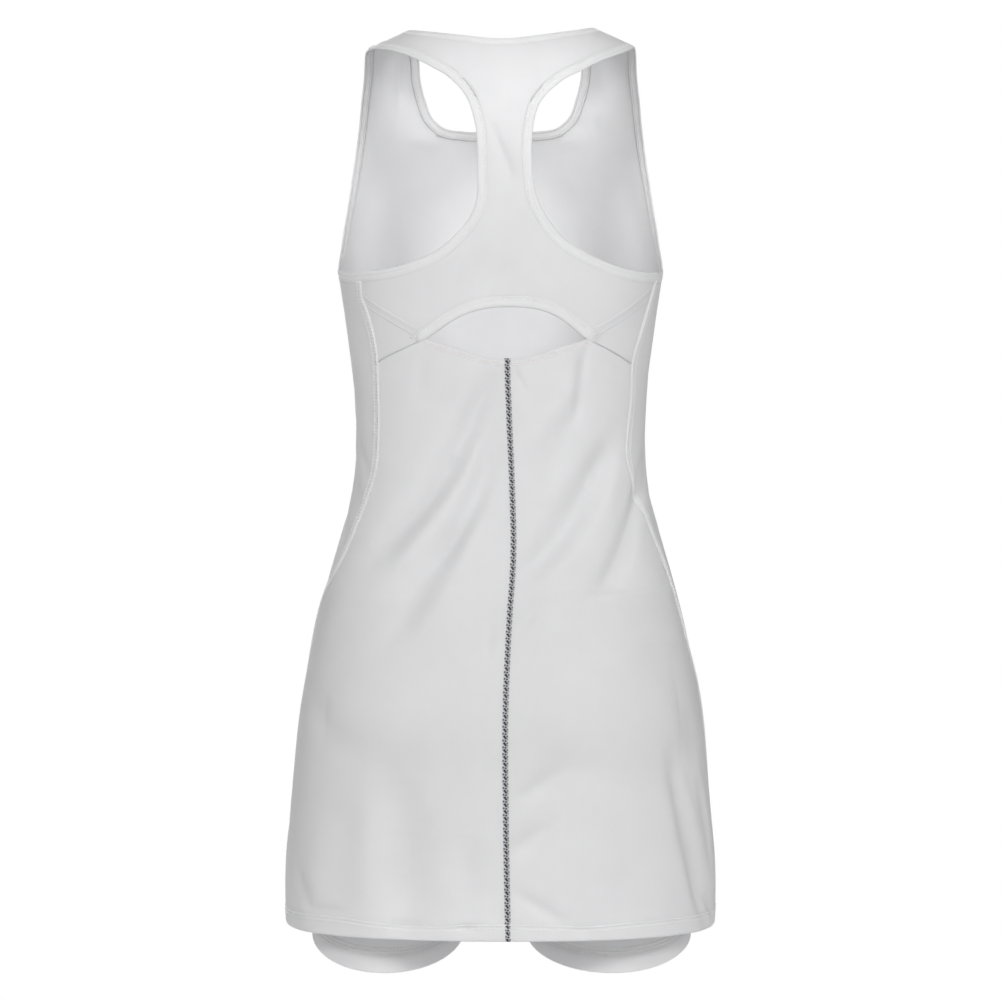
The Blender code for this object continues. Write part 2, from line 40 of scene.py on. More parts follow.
# A place on the cloth is a turn and a height. The turn is in degrees from centre front towards the
# wearer's left (+X), 180 at centre back, and the wearer's right has negative turns. The height is in
# millimetres, 0 at the top of the straps and crest on the shoulder seam, where front and back meet.
form = {
    "crest": 53.0,
    "shoulderStart": -80.0,
    "ridgeTop": 24.4,
    "ridgeFall": 0.002276,
    "squareness": 0.06,
    "mmPerDegree": 2.3,
    "knitRadius": 0.150,  # metres, what the knit's width is laid round
    "creaseDeepen": 1.8,
    "foldEnds": 0.35,  # share of a fold's depth that is left at its ends
    "foldRise": 0.7,
    "foldReach": 1.2,  # how far it fades past them, in its widths
}

edges = {
    "hem": -792.0,
    "hemBand": 12.0,
    "armholeBand": 8.0,
    "neckBand": 8.5,
    "archBand": 9.0,
    "tapeWidth": 5.4,
    "halfSeam": 0.06,  # what parts two panels, under the seam's stitching
    "openSeam": 0.25,  # and where the yoke laps over the back
    "shoulderGap": 0.05,
    "cornerGap": 0.05,
    "slantGap": 0.1,
    "archEndGap": 0.08,
    "archBeyond": (-3.2, -2.9),  # how far its band runs on over the gussets, and how deep it ends
    "archUnder": -0.25,
    "underarmSag": 2.5,
    "frontSeamStart": -211.0,
    "hemWaveTop": -740.0,  # where the panels begin to follow the hem
}
panelEnd = edges["hem"] + edges["hemBand"] + edges["halfSeam"]

cloth = {
    "wall": 1.2,
    "bandWall": 1.8,
    "tapeWall": 0.8,
    "stripWall": 0.45,
    "coverWall": 0.4,
    "merge": 0.02,
}

# how many steps each edge is cut into
steps = {
    "frontColumns": 66,
    "frontArmhole": 110,
    "underarm": 24,
    "neckFront": 60,
    "neckBack": 50,
    "column": 70,
    "arch": 40,
    "gussetColumns": 36,
    "gussetRows": 24,
    "skirt": 220,
    "underarmSeam": 4,
    "yokeColumns": 44,
    "backOuter": 50,
    "backInner": 62,
    "ring": 432,
    "cutoutStitches": 80,
    "hemStitches": 500,
}


def table(names, rows):
    return dict(zip(names.split(), np.array(rows, float).T))


# half width and depths of the form at each height
sections = table(
    "height halfWidth frontDepth backDepth",
    [
        (-800, 194, 127, 144),
        (-720, 191, 121, 140),
        (-660, 186, 116, 137),
        (-600, 179.5, 111, 133),
        (-560, 172.5, 108, 127),
        (-520, 164, 104, 118),
        (-480, 153.5, 101, 108),
        (-440, 142, 97, 97),
        (-400, 132.5, 95, 88),
        (-360, 130, 96, 84),
        (-300, 133.5, 109, 89),
        (-250, 139.8, 122, 95),
        (-205, 146.5, 122, 99),
        (-170, 150, 115, 100),
        (-130, 151, 104, 99),
        (-80, 151.5, 94, 94),
        (-30, 151, 87, 88),
        (40, 150, 79, 79),
        (70, 150, 78, 78),
    ],
)
# the back hangs a little to the wearer's right, and the right shoulder is a little higher
lean = table(
    "height backShift shoulderTilt",
    [
        (-800, -6.6, 0),
        (-680, -4.5, 0),
        (-600, -4.2, 0),
        (-520, -7.5, 0),
        (-460, -11.2, 0),
        (-400, -10, 0),
        (-340, -7.5, 0),
        (-290, -6, 0),
        (-235, -8.5, 0),
        (-150, -4, 0),
        (-90, -3.6, 0),
        (0, -1.5, 0.008),
        (60, 0, 0.0165),
    ],
)
neckFront = table(
    "turn height",
    [
        (31.5, 53), (30, 22), (28.5, -4), (28, -28), (26.4, -46), (23.5, -63), (20, -70), (13, -73),
        (0, -73.5),
    ],
)
neckBack = table(
    "turn height",
    [(148.5, 53), (149.5, 33), (154.3, 12.5), (161, -0.5), (169, -9.5), (176, -14), (180, -14.8)],
)
armholeFront = table(
    "turn height",
    [
        (50, 53), (50.8, 30), (51.8, -12), (53.2, -38), (55.6, -83), (59.8, -120), (66, -158), (75, -188),
        (84, -202),
    ],
)
armholeBackLeft = table(
    "turn height",
    [
        (123.2, -213), (134.2, -212.4), (146.5, -207), (156.3, -196.5), (163.4, -182), (168.1, -168),
        (170.6, -152), (170.9, -130), (170.9, -107), (170.4, -88), (167.8, -66.6), (161.7, -48),
        (156, -36.5), (146.6, -14.6), (138, 10), (132.2, 36), (130, 53),
    ],
)
armholeBackRight = table(
    "turn height",
    [
        (112.5, -212), (128.2, -213.5), (142.3, -208.7), (152.7, -199), (161.2, -185.5), (166.3, -168.3),
        (169.4, -151), (170.7, -130), (171, -107), (170.5, -89), (168.9, -73.4), (161.3, -53),
        (153.6, -39.7), (145.6, -23), (137, 0), (131.3, 30), (130, 53),
    ],
)
arch = table(
    "turn height",
    [
        (149.4, -275.5), (152.9, -270.2), (158.8, -260.3), (163, -254.4), (168.5, -249.4), (174, -247),
        (180, -246.4),
    ],
)
cutout = table("turn height", [(150.2, -273.6), (161, -281), (172, -289.7), (180, -292)])
yokeLowerEdge = table("turn height", [(127.5, -294), (139, -284), (150.2, -273.6)])
backSeamLeft = table(
    "turn height",
    [
        (122.5, -235), (125.9, -255), (128.2, -282), (127.4, -311), (125.8, -355), (124.6, -385),
        (121.2, -411), (118.0, -435), (109.7, -476), (98, -500), (87, -540), (81, -600), (78, -700),
        (77, -800),
    ],
)
backSeamRight = table(
    "turn height",
    [
        (115.9, -226), (121.4, -262), (125.6, -293), (124.8, -326), (126.9, -355), (128, -376),
        (124.5, -399), (119.8, -430), (112.7, -470), (108.1, -509), (105.2, -545), (95, -587), (86, -650),
        (81, -720), (79, -800),
    ],
)
frontSeam = table(
    "turn height",
    [
        (84, -202), (73, -245), (63, -300), (57, -355), (56, -400), (54, -480), (50, -600), (48, -700),
        (47, -800),
    ],
)

# folds and creases: a line from one place to another, its width and its depth in millimetres.
# A negative depth sinks in and a positive one stands out. These are the solids' own.
foldNames = "startTurn startHeight endTurn endHeight width depth"
folds = table(
    foldNames,
    [
        (172, -325, 152, -405, 13, -2.0),
        (154, -405, 130, -455, 15, -2.2),
        (169, -400, 138, -520, 12, -2.8),
        (178, -390, 166, -500, 11, -1.6),
        (-161, -340, -171, -430, 14, -2.0),
        (-150, -395, -170, -470, 17, -2.4),
        (-172, -490, -179, -530, 9, -1.8),
        (-134, -420, -143, -485, 11, -2.0),
        (170, -520, 168, -690, 26, 2.2),
        (-150, -510, -148, -600, 32, 2.6),
        (-170, -640, -155, -650, 16, -2.4),
        (138, -680, 136, -770, 20, -2.0),
        (-128, -640, -114, -775, 12, -4.5),
        (-116, -650, -104, -760, 9, 3.0),
        (60, -640, 66, -780, 16, -3.0),
        (20, -650, 26, -785, 22, -3.0),
        (-18, -640, -24, -785, 22, -2.6),
        (-62, -630, -66, -780, 18, -3.2),
    ],
)
creases = table(
    foldNames,
    [
        # the yoke's column and its lower left
        (175, -90, -178.5, -137, 4.5, -1.3),
        (-180, -86, -173, -130, 6, 0.6),
        (170, -203, 160, -237, 5.5, -1.1),
        (178, -212, 168.5, -234, 6.5, -1.0),
        (175, -226, 171.5, -241, 4.5, -0.6),
        (-172, -200, -164, -228, 7, -0.5),
        # under the arch's ends and beside the top of the tape
        (-150.5, -281, -153, -338, 5, -1.5),
        (-155, -288, -158, -350, 8, 0.7),
        (-177, -302, -173.5, -319, 3.5, -1.0),
        (176, -303, 172, -322, 5, -0.6),
        (150, -284, 146, -322, 6, -0.6),
        # long drag folds of the waist
        (178, -362, 165, -431, 7, -0.9),
        (160, -395, 143, -462, 8, 0.8),
        (163, -430, 148, -500, 7, -0.9),
        (-157, -352, -166, -402, 7, -0.8),
        (-150, -492, -142, -469, 8, -1.1),
        (-177, -525, -171, -504, 4.5, -1.1),
        (-176, -560, -172, -535, 6, -0.5),
        # the puckered left side of the tape
        (174.5, -522, 174.5, -548, 3.5, -0.6),
        (177, -512, 176.5, -560, 3, 0.35),
        (176.5, -590, 176, -640, 4, 0.3),
        (175, -690, 174, -735, 6, 0.5),
        (176.5, -745, 175.5, -775, 5, -0.6),
        # short diagonals low on the right
        (-168, -652, -177, -673, 7, -1.2),
        (-174, -696, -178.5, -723, 5.5, -0.9),
        (-178, -750, -164.5, -779, 5.5, -1.7),
        (-160, -700, -154, -740, 16, 0.9),
        # low on the left
        (157, -700, 152, -780, 17, -1.3),
        (128, -700, 124, -775, 14, 1.0),
        (112, -735, 124, -772, 9, -1.4),
        (95.5, -674, 104, -684, 3.2, -1.1),
        # the right side towards the hem
        (-113, -762, -103, -785, 6, -1.8),
        (-122, -600, -118, -650, 12, -0.9),
        # the waistband of the shorts shows a little
        (-112, -494, -174, -498, 3.5, 0.30),
        (-106, -539, -152, -538, 3.5, 0.22),
        (117, -505, 150, -500, 3.5, 0.25),
        (40, -497, -40, -497, 3.5, 0.25),
        # drag creases of the side panels
        (-117, -388, -95, -361, 6, -1.3),
        (-122, -416, -98, -376, 7, -1.3),
        (-110, -438, -92, -408, 8, -1.0),
        (118, -386, 95, -348, 7, -1.3),
        (116, -416, 93, -378, 7, -1.1),
        (104, -450, 88, -418, 8, -1.0),
        (98, -290, 88, -335, 9, -0.8),
        (-98, -286, -86, -330, 9, -0.8),
        # the front's neckline ends and straps
        (33, -79, 22, -84, 6.5, -1.4),
        (-21, -84, -31, -78, 6.5, -1.4),
        (35, -2, 35.5, -46, 4.5, 1.1),
        (38.5, 0, 38.5, -30, 4, -0.6),
        (-31.5, -4, -30.5, -48, 4.5, 1.1),
        (-36, -4, -36, -34, 4, -0.6),
        (46, -110, 52, -175, 12, 0.8),
        (-46, -112, -52, -172, 12, 0.8),
        # the front, which the photo doesn't show: folds like those of the back
        (60, -225, 34, -262, 10, -1.6),
        (52, -262, 24, -318, 13, -1.8),
        (-61, -228, -36, -258, 9, -1.5),
        (-50, -268, -26, -322, 13, -1.7),
        (8, -330, 26, -412, 12, -1.5),
        (-6, -350, -22, -440, 13, -1.7),
        (44, -372, 20, -446, 12, -1.8),
        (-42, -392, -14, -478, 13, -1.8),
        (30, -440, 4, -512, 11, -1.3),
        (-30, -470, -2, -540, 10, -1.1),
        (14, -560, 18, -640, 20, 1.6),
        (-22, -570, -20, -660, 24, 1.8),
        (40, -690, 44, -785, 13, 1.6),
        (-40, -700, -44, -786, 14, 1.7),
        (2, -700, -2, -788, 18, 1.5),
        (78, -600, 82, -700, 12, -1.0),
        (-74, -590, -78, -690, 12, -1.0),
        (84, -700, 88, -788, 10, 1.4),
        (-84, -705, -86, -788, 10, 1.5),
    ],
)
# the deepest, which show most on the back, and the swell of the hips
drags = table(
    foldNames,
    [
        # two long drag folds of the left waist and the ridges beside them
        (171.6, -315, 158, -381, 9, -5.5),
        (159, -376, 146.5, -421, 11, -7.0),
        (148, -417, 133.6, -460, 12, -5.0),
        (173.8, -361, 165.2, -417, 8, -4.5),
        (166, -412, 157, -464, 9, -6.5),
        (159, -455, 145.7, -533, 12, -6.0),
        (167, -364, 158, -421, 10, 1.8),
        (158, -421, 144, -470, 9, 2.8),
        (168, -430, 156, -510, 12, 2.4),
        # the broad one of the right waist, and the crease beside the seam
        (-138.5, -367, -151, -409, 13, -7.0),
        (-149, -404, -168, -456, 15, -8.5),
        (-166, -451, -177.5, -482, 10, -5.0),
        (-137.5, -396, -171, -490, 11, 3.2),
        (-119, -396, -134, -441, 8, -5.5),
        (-132, -436, -153, -496, 9, -5.0),
        # under the right end of the arch
        (-152.5, -330, -162, -371, 8, -1.6),
        (-155, -315, -168, -357, 8, 2.0),
        # low on the skirt
        (151.5, -655, 155, -790, 16, -6.0),
        (143.7, -650, 143, -772, 10, 1.5),
        (169, -700, 171, -775, 9, -2.4),
        (112, -579, 142, -641, 14, -2.2),
        (-165, -646, -177, -673, 7, -1.4),
        (-168.5, -692, -178, -715, 6, -2.2),
        (-131.5, -640, -126, -709, 8, -4.0),
        (-126.5, -700, -116.5, -778, 10, -6.5),
        (-116, -664, -107, -742, 7, -4.0),
        (-126, -653, -116, -726, 6, 2.2),
        # puckers over the hem's seam
        (124, -772, 136, -770, 4, -1.8),
        (149, -781, 158, -779, 4, -2.0),
        (166, -781, 172, -781, 3.5, -2.2),
        (-163, -784, -158, -783, 3.5, -1.6),
        # the hips stand out and the hem falls back in
        (126, -600, 173, -598, 38, 6.5),
        (-173, -598, -126, -600, 38, 6.5),
        (120, -805, -120, -805, 75, -7.0),
        # the yoke's column, and the waistband under the back
        (175.8, -88, -177, -133, 3.2, -1.6),
        (-112, -494, -176, -498, 2.2, 1.1),
        (-106, -540, -152, -539, 2.4, 0.6),
        # the front's deepest
        (52, -262, 24, -318, 9, -3.0),
        (-50, -268, -26, -322, 9, -2.8),
        (44, -372, 18, -448, 8, -3.4),
        (-42, -392, -14, -478, 9, -3.4),
    ],
)
creases["depth"] *= form["creaseDeepen"]
wholeCloth = {name: np.concatenate([folds[name], creases[name], drags[name]]) for name in folds}


# a column read at any place with a smooth cubic through the table's rows
def follow(columns, key, place, name):
    at = columns[key]
    value = columns[name]
    slope = np.gradient(value, at)
    place = np.clip(place, at[0], at[-1])
    row = np.clip(np.searchsorted(at, place) - 1, 0, len(at) - 2)
    span = at[row + 1] - at[row]
    t = (place - at[row]) / span
    first = (2 * t**3 - 3 * t**2 + 1) * value[row] + (t**3 - 2 * t**2 + t) * span * slope[row]
    return first + (3 * t**2 - 2 * t**3) * value[row + 1] + (t**3 - t**2) * span * slope[row + 1]


# the sum of the folds: each a bell-shaped trough across its line that fades past the line's ends
def foldDepth(turn, height):
    depth = np.zeros(np.broadcast(turn, height).shape)
    turn = np.mod(turn + 180, 360) - 180
    perDegree = form["mmPerDegree"]
    for start, startHeight, end, endHeight, width, deep in zip(*wholeCloth.values()):
        along = np.array([(end - start) * perDegree, endHeight - startHeight])
        if abs(end - start) > 180:
            along[0] -= np.sign(end - start) * 360 * perDegree
        length = np.hypot(*along)
        along = along / length
        acrossX = (np.mod(turn - start + 180, 360) - 180) * perDegree
        acrossY = height - startHeight
        distance = acrossX * along[1] - acrossY * along[0]
        t = (acrossX * along[0] + acrossY * along[1]) / length
        beyond = np.maximum(np.maximum(-t, t - 1), 0) * length / (form["foldReach"] * width)
        bell = np.sin(np.pi * np.clip(t, 0, 1)) ** form["foldRise"]
        ends = form["foldEnds"] + (1 - form["foldEnds"]) * bell
        depth = depth + deep * ends * np.exp(-((distance / width) ** 2) - beyond**2)
    return depth


# the form with no folds, in metres: a soft oval at each height, x = W sin(turn) (1 + q sin(2 turn)^2)
# and y = -D cos(turn) with the same factor, turned over the shoulders at the top by a quarter circle
def smoothForm(turn, height):
    turn = np.radians(turn)
    width = follow(sections, "height", height, "halfWidth")
    front = follow(sections, "height", height, "frontDepth")
    back = follow(sections, "height", height, "backDepth")
    squared = 1 + form["squareness"] * np.sin(2 * turn) ** 2
    x = width * np.sin(turn) * squared
    start = form["shoulderStart"]
    over = np.clip((height - start) / (form["crest"] - start), 0, None) * np.pi / 2
    depth = np.where(np.cos(turn) < 0, back, front)
    y = -depth * np.cos(turn) * squared * np.cos(over)
    ridge = form["ridgeTop"] - form["ridgeFall"] * x**2
    z = np.where(height > start, start + (ridge - start) * np.sin(over), height)
    z = z - follow(lean, "height", height, "shoulderTilt") * x
    x = x + follow(lean, "height", height, "backShift") * np.clip(-np.cos(turn), 0, 1) ** 2
    return np.stack([x, y, z], -1) * mm


# how the form runs with the turn and with the height, and its normal, which points out
def slopes(turn, height):
    step = 0.05
    alongTurn = (smoothForm(turn + step, height) - smoothForm(turn - step, height)) / (2 * step)
    alongHeight = (smoothForm(turn, height + step) - smoothForm(turn, height - step)) / (2 * step)
    normal = np.cross(alongTurn, alongHeight)
    normal = normal / np.linalg.norm(normal, axis=-1, keepdims=True)
    return alongTurn, alongHeight, normal


# points of the folded form at an array of places, moved out by some millimetres
def onCloth(places, out=0.0):
    turn = places[..., 0]
    height = places[..., 1]
    normal = slopes(turn, height)[2]
    lift = (foldDepth(turn, height) + out) * mm
    return smoothForm(turn, height) + normal * lift[..., None]


# places evenly spaced along a table's smooth line, on the wearer's left or right
def edgeLine(columns, count, side=1):
    places = np.stack([columns["turn"], columns["height"]], -1)
    lengths = np.hypot(np.diff(places[:, 0]) * form["mmPerDegree"], np.diff(places[:, 1]))
    at = np.concatenate([[0], np.cumsum(lengths)])
    where = np.linspace(0, at[-1], count + 1)
    line = {"at": at, "turn": places[:, 0], "height": places[:, 1]}
    turn = follow(line, "at", where, "turn")
    height = follow(line, "at", where, "height")
    return np.stack([side * turn, height], -1)


def atHeights(columns, heights, side=1):
    rising = {name: column[::-1] for name, column in columns.items()}
    return np.stack([side * follow(rising, "height", heights, "turn"), heights], -1)


def straight(start, end, count):
    return np.linspace(start, end, count + 1)


def joined(*lines):
    return np.concatenate([lines[0]] + [line[1:] for line in lines[1:]])


# a line moved over the cloth by a distance, to the left of its direction as seen from outside
def movedAside(line, distance, fromCrest=False, toCrest=False):
    step = np.gradient(line, axis=0)
    if fromCrest:
        step[0] = (0, -1)
    if toCrest:
        step[-1] = (0, 1)
    alongTurn, alongHeight, normal = slopes(line[:, 0], line[:, 1])
    tangent = alongTurn * step[:, :1] + alongHeight * step[:, 1:]
    aside = np.cross(normal, tangent)
    aside = aside / np.linalg.norm(aside, axis=-1, keepdims=True) * distance * mm
    turnTurn = (alongTurn**2).sum(-1)
    turnHeight = (alongTurn * alongHeight).sum(-1)
    heightHeight = (alongHeight**2).sum(-1)
    turnAside = (alongTurn * aside).sum(-1)
    heightAside = (alongHeight * aside).sum(-1)
    whole = turnTurn * heightHeight - turnHeight**2
    turn = (turnAside * heightHeight - heightAside * turnHeight) / whole
    height = (heightAside * turnTurn - turnAside * turnHeight) / whole
    return line + np.stack([turn, height], -1)


# a grid of straight rows from each place of one edge to the same place of another
def ruled(first, second, columns):
    t = np.linspace(0, 1, columns + 1)[None, :, None]
    return first[:, None] * (1 - t) + second[:, None] * t


# a grid inside four edges that share their corners: the two rulings added, less the corners' own
def patch(top, bottom, left, right):
    u = np.linspace(0, 1, len(top))[None, :, None]
    v = np.linspace(0, 1, len(left))[:, None, None]
    across = (1 - v) * top[None] + v * bottom[None]
    down = (1 - u) * left[:, None] + u * right[:, None]
    corners = (1 - v) * ((1 - u) * top[0] + u * top[-1]) + v * ((1 - u) * bottom[0] + u * bottom[-1])
    return across + down - corners


# The turned hem is not equally deep all round: the line it is sewn on waves as the photo shows.
hemTurnUp = table(
    "turn depth",
    [
        (-180, 12.2), (-170, 11.4), (-160, 9.8), (-148, 11.6), (-133, 12.6), (-118, 12.0), (-100, 11.2),
        (-70, 12.4), (-40, 11.2), (-15, 12.8), (10, 11.2), (35, 12.8), (60, 11.6), (85, 11.6), (105, 11.8),
        (122, 13.4), (136, 13.6), (147, 11.0), (155, 9.4), (163, 10.0), (171, 11.8), (180, 12.2),
    ],
)


# heights near the hem moved so that the panels end on the hem's waving line
def toHem(places):
    places = places.copy()
    turn = np.mod(places[..., 0] + 180, 360) - 180
    shift = follow(hemTurnUp, "turn", turn, "depth") - edges["hemBand"]
    near = np.clip((edges["hemWaveTop"] - places[..., 1]) / (edges["hemWaveTop"] - panelEnd), 0, 1)
    places[..., 1] += shift * near * near * (3 - 2 * near)
    return places


def gridFaces(rows, columns, ring=False):
    count = columns if ring else columns - 1
    row, column = np.meshgrid(np.arange(rows - 1), np.arange(count), indexing="ij")
    first = row * columns + column
    second = row * columns + (column + 1) % columns
    return np.stack([first, second, second + columns, first + columns], -1).reshape(-1, 4)


def meshObject(name, points, faces, uv=None):
    mesh = bpy.data.meshes.new(name)
    mesh.from_pydata(points.tolist(), [], faces.tolist())
    if uv is not None:
        corners = np.empty(len(mesh.loops), np.int32)
        mesh.loops.foreach_get("vertex_index", corners)
        layer = mesh.uv_layers.new(name="UVMap")
        layer.data.foreach_set("uv", uv[corners].astype(np.float32).ravel())
    mesh.shade_smooth()
    piece = bpy.data.objects.new(name, mesh)
    bpy.context.scene.collection.objects.link(piece)
    return piece


def clothUv(places):
    turn = np.mod(places[..., 0] + 360, 360)
    return np.stack([np.radians(turn) * form["knitRadius"], places[..., 1] * mm], -1)


# the faces of a mesh made to agree, and turned round where their sum of facing is below nothing
def agreeFaces(piece, facing=None, merge=False, capped=0):
    build = bmesh.new()
    build.from_mesh(piece.data)
    if merge:
        bmesh.ops.remove_doubles(build, verts=build.verts, dist=cloth["merge"] * mm)
    if capped:
        build.verts.ensure_lookup_table()
        build.faces.new(build.verts[:capped])
    bmesh.ops.recalc_face_normals(build, faces=build.faces)
    if facing and sum(facing(face) for face in build.faces) < 0:
        bmesh.ops.reverse_faces(build, faces=build.faces)
    build.to_mesh(piece.data)
    build.free()
    piece.data.shade_smooth()


# one piece of cloth from grids of points that meet along edges, with a wall that grows inwards
def clothPiece(name, grids, uvs, material, wall, ring=False, middle=0.0):
    points, faces, uv, count = [], [], [], 0
    for grid, gridUv in zip(grids, uvs):
        rows, columns = grid.shape[:2]
        points.append(grid.reshape(-1, 3))
        uv.append(gridUv.reshape(-1, 2))
        faces.append(gridFaces(rows, columns, ring) + count)
        count += rows * columns
    piece = meshObject(name, np.concatenate(points), np.concatenate(faces), np.concatenate(uv))

    def facing(face):  # away from the middle, by its area
        centre = face.calc_center_median()
        return (face.normal.x * (centre.x - middle) + face.normal.y * centre.y) * face.calc_area()

    agreeFaces(piece, facing, merge=True)
    piece.data.materials.append(material)
    solid = piece.modifiers.new("Wall", "SOLIDIFY")
    solid.thickness = wall * mm
    solid.offset = -1
    return piece


# Materials. A Signal is a socket whose sums add Math nodes.
class Signal:
    def __init__(self, shader, socket):
        self.shader = shader
        self.socket = socket

    def math(self, operation, other=None, swap=False):
        node = self.shader.tree.nodes.new("ShaderNodeMath")
        node.operation = operation
        values = [self] if other is None else [other, self] if swap else [self, other]
        for socket, value in zip(node.inputs, values):
            self.shader.put(socket, value)
        return Signal(self.shader, node.outputs[0])

    def __add__(self, other):
        return self.math("ADD", other)

    def __sub__(self, other):
        return self.math("SUBTRACT", other)

    def __rsub__(self, other):
        return self.math("SUBTRACT", other, swap=True)

    def __mul__(self, other):
        return self.math("MULTIPLY", other)

    __radd__ = __add__
    __rmul__ = __mul__


class Shader:  # one material's node tree
    def __init__(self, name):
        self.material = bpy.data.materials.new(name)
        self.material.use_nodes = True
        self.tree = self.material.node_tree
        self.tree.nodes.clear()

    def put(self, socket, value):
        if isinstance(value, Signal):
            self.tree.links.new(value.socket, socket)
        elif isinstance(value, tuple) and len(value) == 3 and socket.type == "RGBA":
            socket.default_value = (*value, 1)
        else:
            socket.default_value = value

    def node(self, kind, settings=None, output=0, **values):
        node = self.tree.nodes.new(kind)
        for name, value in (settings or {}).items():
            setattr(node, name, value)
        for name, value in values.items():
            key = int(name[1:]) if name[0] == "n" and name[1:].isdigit() else name.replace("_", " ")
            self.put(node.inputs[key], value)
        return Signal(self, node.outputs[output])

    def mix(self, factor, first, second):
        return self.node(
            "ShaderNodeMix", {"data_type": "RGBA"}, output=2, n0=factor, n6=first, n7=second
        )

    def uv(self):  # the piece's own map, across and along
        split = self.node("ShaderNodeSeparateXYZ", n0=self.node("ShaderNodeUVMap", {"uv_map": "UVMap"}))
        return split, Signal(self, split.socket.node.outputs[1])

    def finish(self, surface):
        target = self.tree.nodes.new("ShaderNodeOutputMaterial")
        self.tree.links.new(surface.socket, target.inputs["Surface"])
        return self.material


knit = {
    "wale": 0.0012,  # width of one column of loops, metres
    "course": 0.0010,
    "relief": 0.00011,
    "cloudSize": 26.0,
    "fineSize": 900.0,
    "through": 0.37,  # share of the light that passes the cloth
    "sheen": 0.25,
}


# jersey: rows of small loops, a sine across the wales and a bent sine along the courses, over slow
# clouds of slightly different white
def knitMaterial(name, light, shade, roughness=0.82, relief=1.0, through=None):
    shader = Shader(name)
    u, v = shader.uv()
    place = shader.node("ShaderNodeTexCoord", output=3)
    wale = (u * (2 * np.pi / knit["wale"])).math("SINE")
    bend = (u * (4 * np.pi / knit["wale"])).math("SINE") * 0.9
    course = (v * (2 * np.pi / knit["course"]) + bend).math("SINE")
    fine = shader.node("ShaderNodeTexNoise", Vector=place, Scale=knit["fineSize"], Detail=2.0)
    size = knit["cloudSize"]
    cloud = shader.node("ShaderNodeTexNoise", Vector=place, Scale=size, Detail=3.0, Roughness=0.6)
    loops = wale * 0.30 + course * 0.22 + fine * 0.55
    tone = (cloud - 0.5) * 1.1 + (fine - 0.5) * 0.25 + wale * course * 0.05 + 0.5
    colour = shader.mix(tone.math("MAXIMUM", 0.0).math("MINIMUM", 1.0), shade, light)
    bump = shader.node("ShaderNodeBump", Strength=0.35, Distance=knit["relief"] * relief, Height=loops)
    cover = shader.node(
        "ShaderNodeBsdfPrincipled",
        Base_Color=colour,
        Roughness=(fine - 0.5) * 0.12 + roughness,
        Sheen_Weight=knit["sheen"],
        Sheen_Roughness=0.45,
        Specular_IOR_Level=0.25,
        Normal=bump,
    )
    glow = shader.node("ShaderNodeBsdfTranslucent", Color=colour, Normal=bump)
    share = knit["through"] if through is None else through
    return shader.finish(shader.node("ShaderNodeMixShader", n0=share, n1=cover, n2=glow))


tapePattern = {
    "period": 0.00578,
    "dotWide": 0.24,
    "dotLong": 0.19,
    "dark": (0.012, 0.012, 0.022),
    "white": (0.72, 0.72, 0.74),
    "weave": (7, 8),  # threads across, and in one period
}
# one period of the tape, charted: where each dark thread shows, and how dark
tapeDots = table(
    "across along dark",
    [
        (0.17, 0.00, 0.80),
        (0.36, 0.42, 1.00),
        (0.46, 0.555, 0.90),
        (0.57, 0.69, 0.95),
        (0.56, 0.08, 0.85),
        (0.84, 0.42, 0.72),
        (0.86, 0.82, 0.50),
    ],
)


# the woven tape: bell-shaped dark dots at the charted places, repeated along its length
def tapeMaterial(name):
    shader = Shader(name)
    u, v = shader.uv()
    across = u * (1 / (edges["tapeWidth"] * mm))
    along = v * (1 / tapePattern["period"])
    dark = None
    for spotAcross, spotAlong, strength in zip(*tapeDots.values()):
        x = (across - spotAcross) * (1 / tapePattern["dotWide"])
        y = ((along - (spotAlong - 0.5)).math("FRACT") - 0.5) * (1 / tapePattern["dotLong"])
        spot = (0 - (x * x + y * y)).math("EXPONENT") * (1.35 * strength)
        dark = spot if dark is None else dark.math("MAXIMUM", spot)
    dark = dark.math("MINIMUM", 1.0)
    colour = shader.mix(dark, tapePattern["white"], tapePattern["dark"])
    threads, picks = tapePattern["weave"]
    weave = (across * (2 * np.pi * threads)).math("SINE") * (along * (2 * np.pi * picks)).math("SINE")
    bump = shader.node("ShaderNodeBump", Strength=0.4, Distance=0.0001, Height=weave)
    cover = shader.node(
        "ShaderNodeBsdfPrincipled",
        Base_Color=colour,
        Roughness=0.72 - dark * 0.15,
        Sheen_Weight=0.15,
        Specular_IOR_Level=0.3,
        Normal=bump,
    )
    return shader.finish(cover)


# sewing thread: a twisted gloss along each stitch
def threadMaterial(name, light, shade):
    shader = Shader(name)
    place = shader.node("ShaderNodeTexCoord", output=3)
    twist = shader.node("ShaderNodeTexNoise", Vector=place, Scale=1400.0, Detail=1.0)
    colour = shader.mix(twist, shade, light)
    cover = shader.node(
        "ShaderNodeBsdfPrincipled",
        Base_Color=colour,
        Roughness=twist * 0.2 + 0.42,
        Sheen_Weight=0.1,
    )
    return shader.finish(cover)


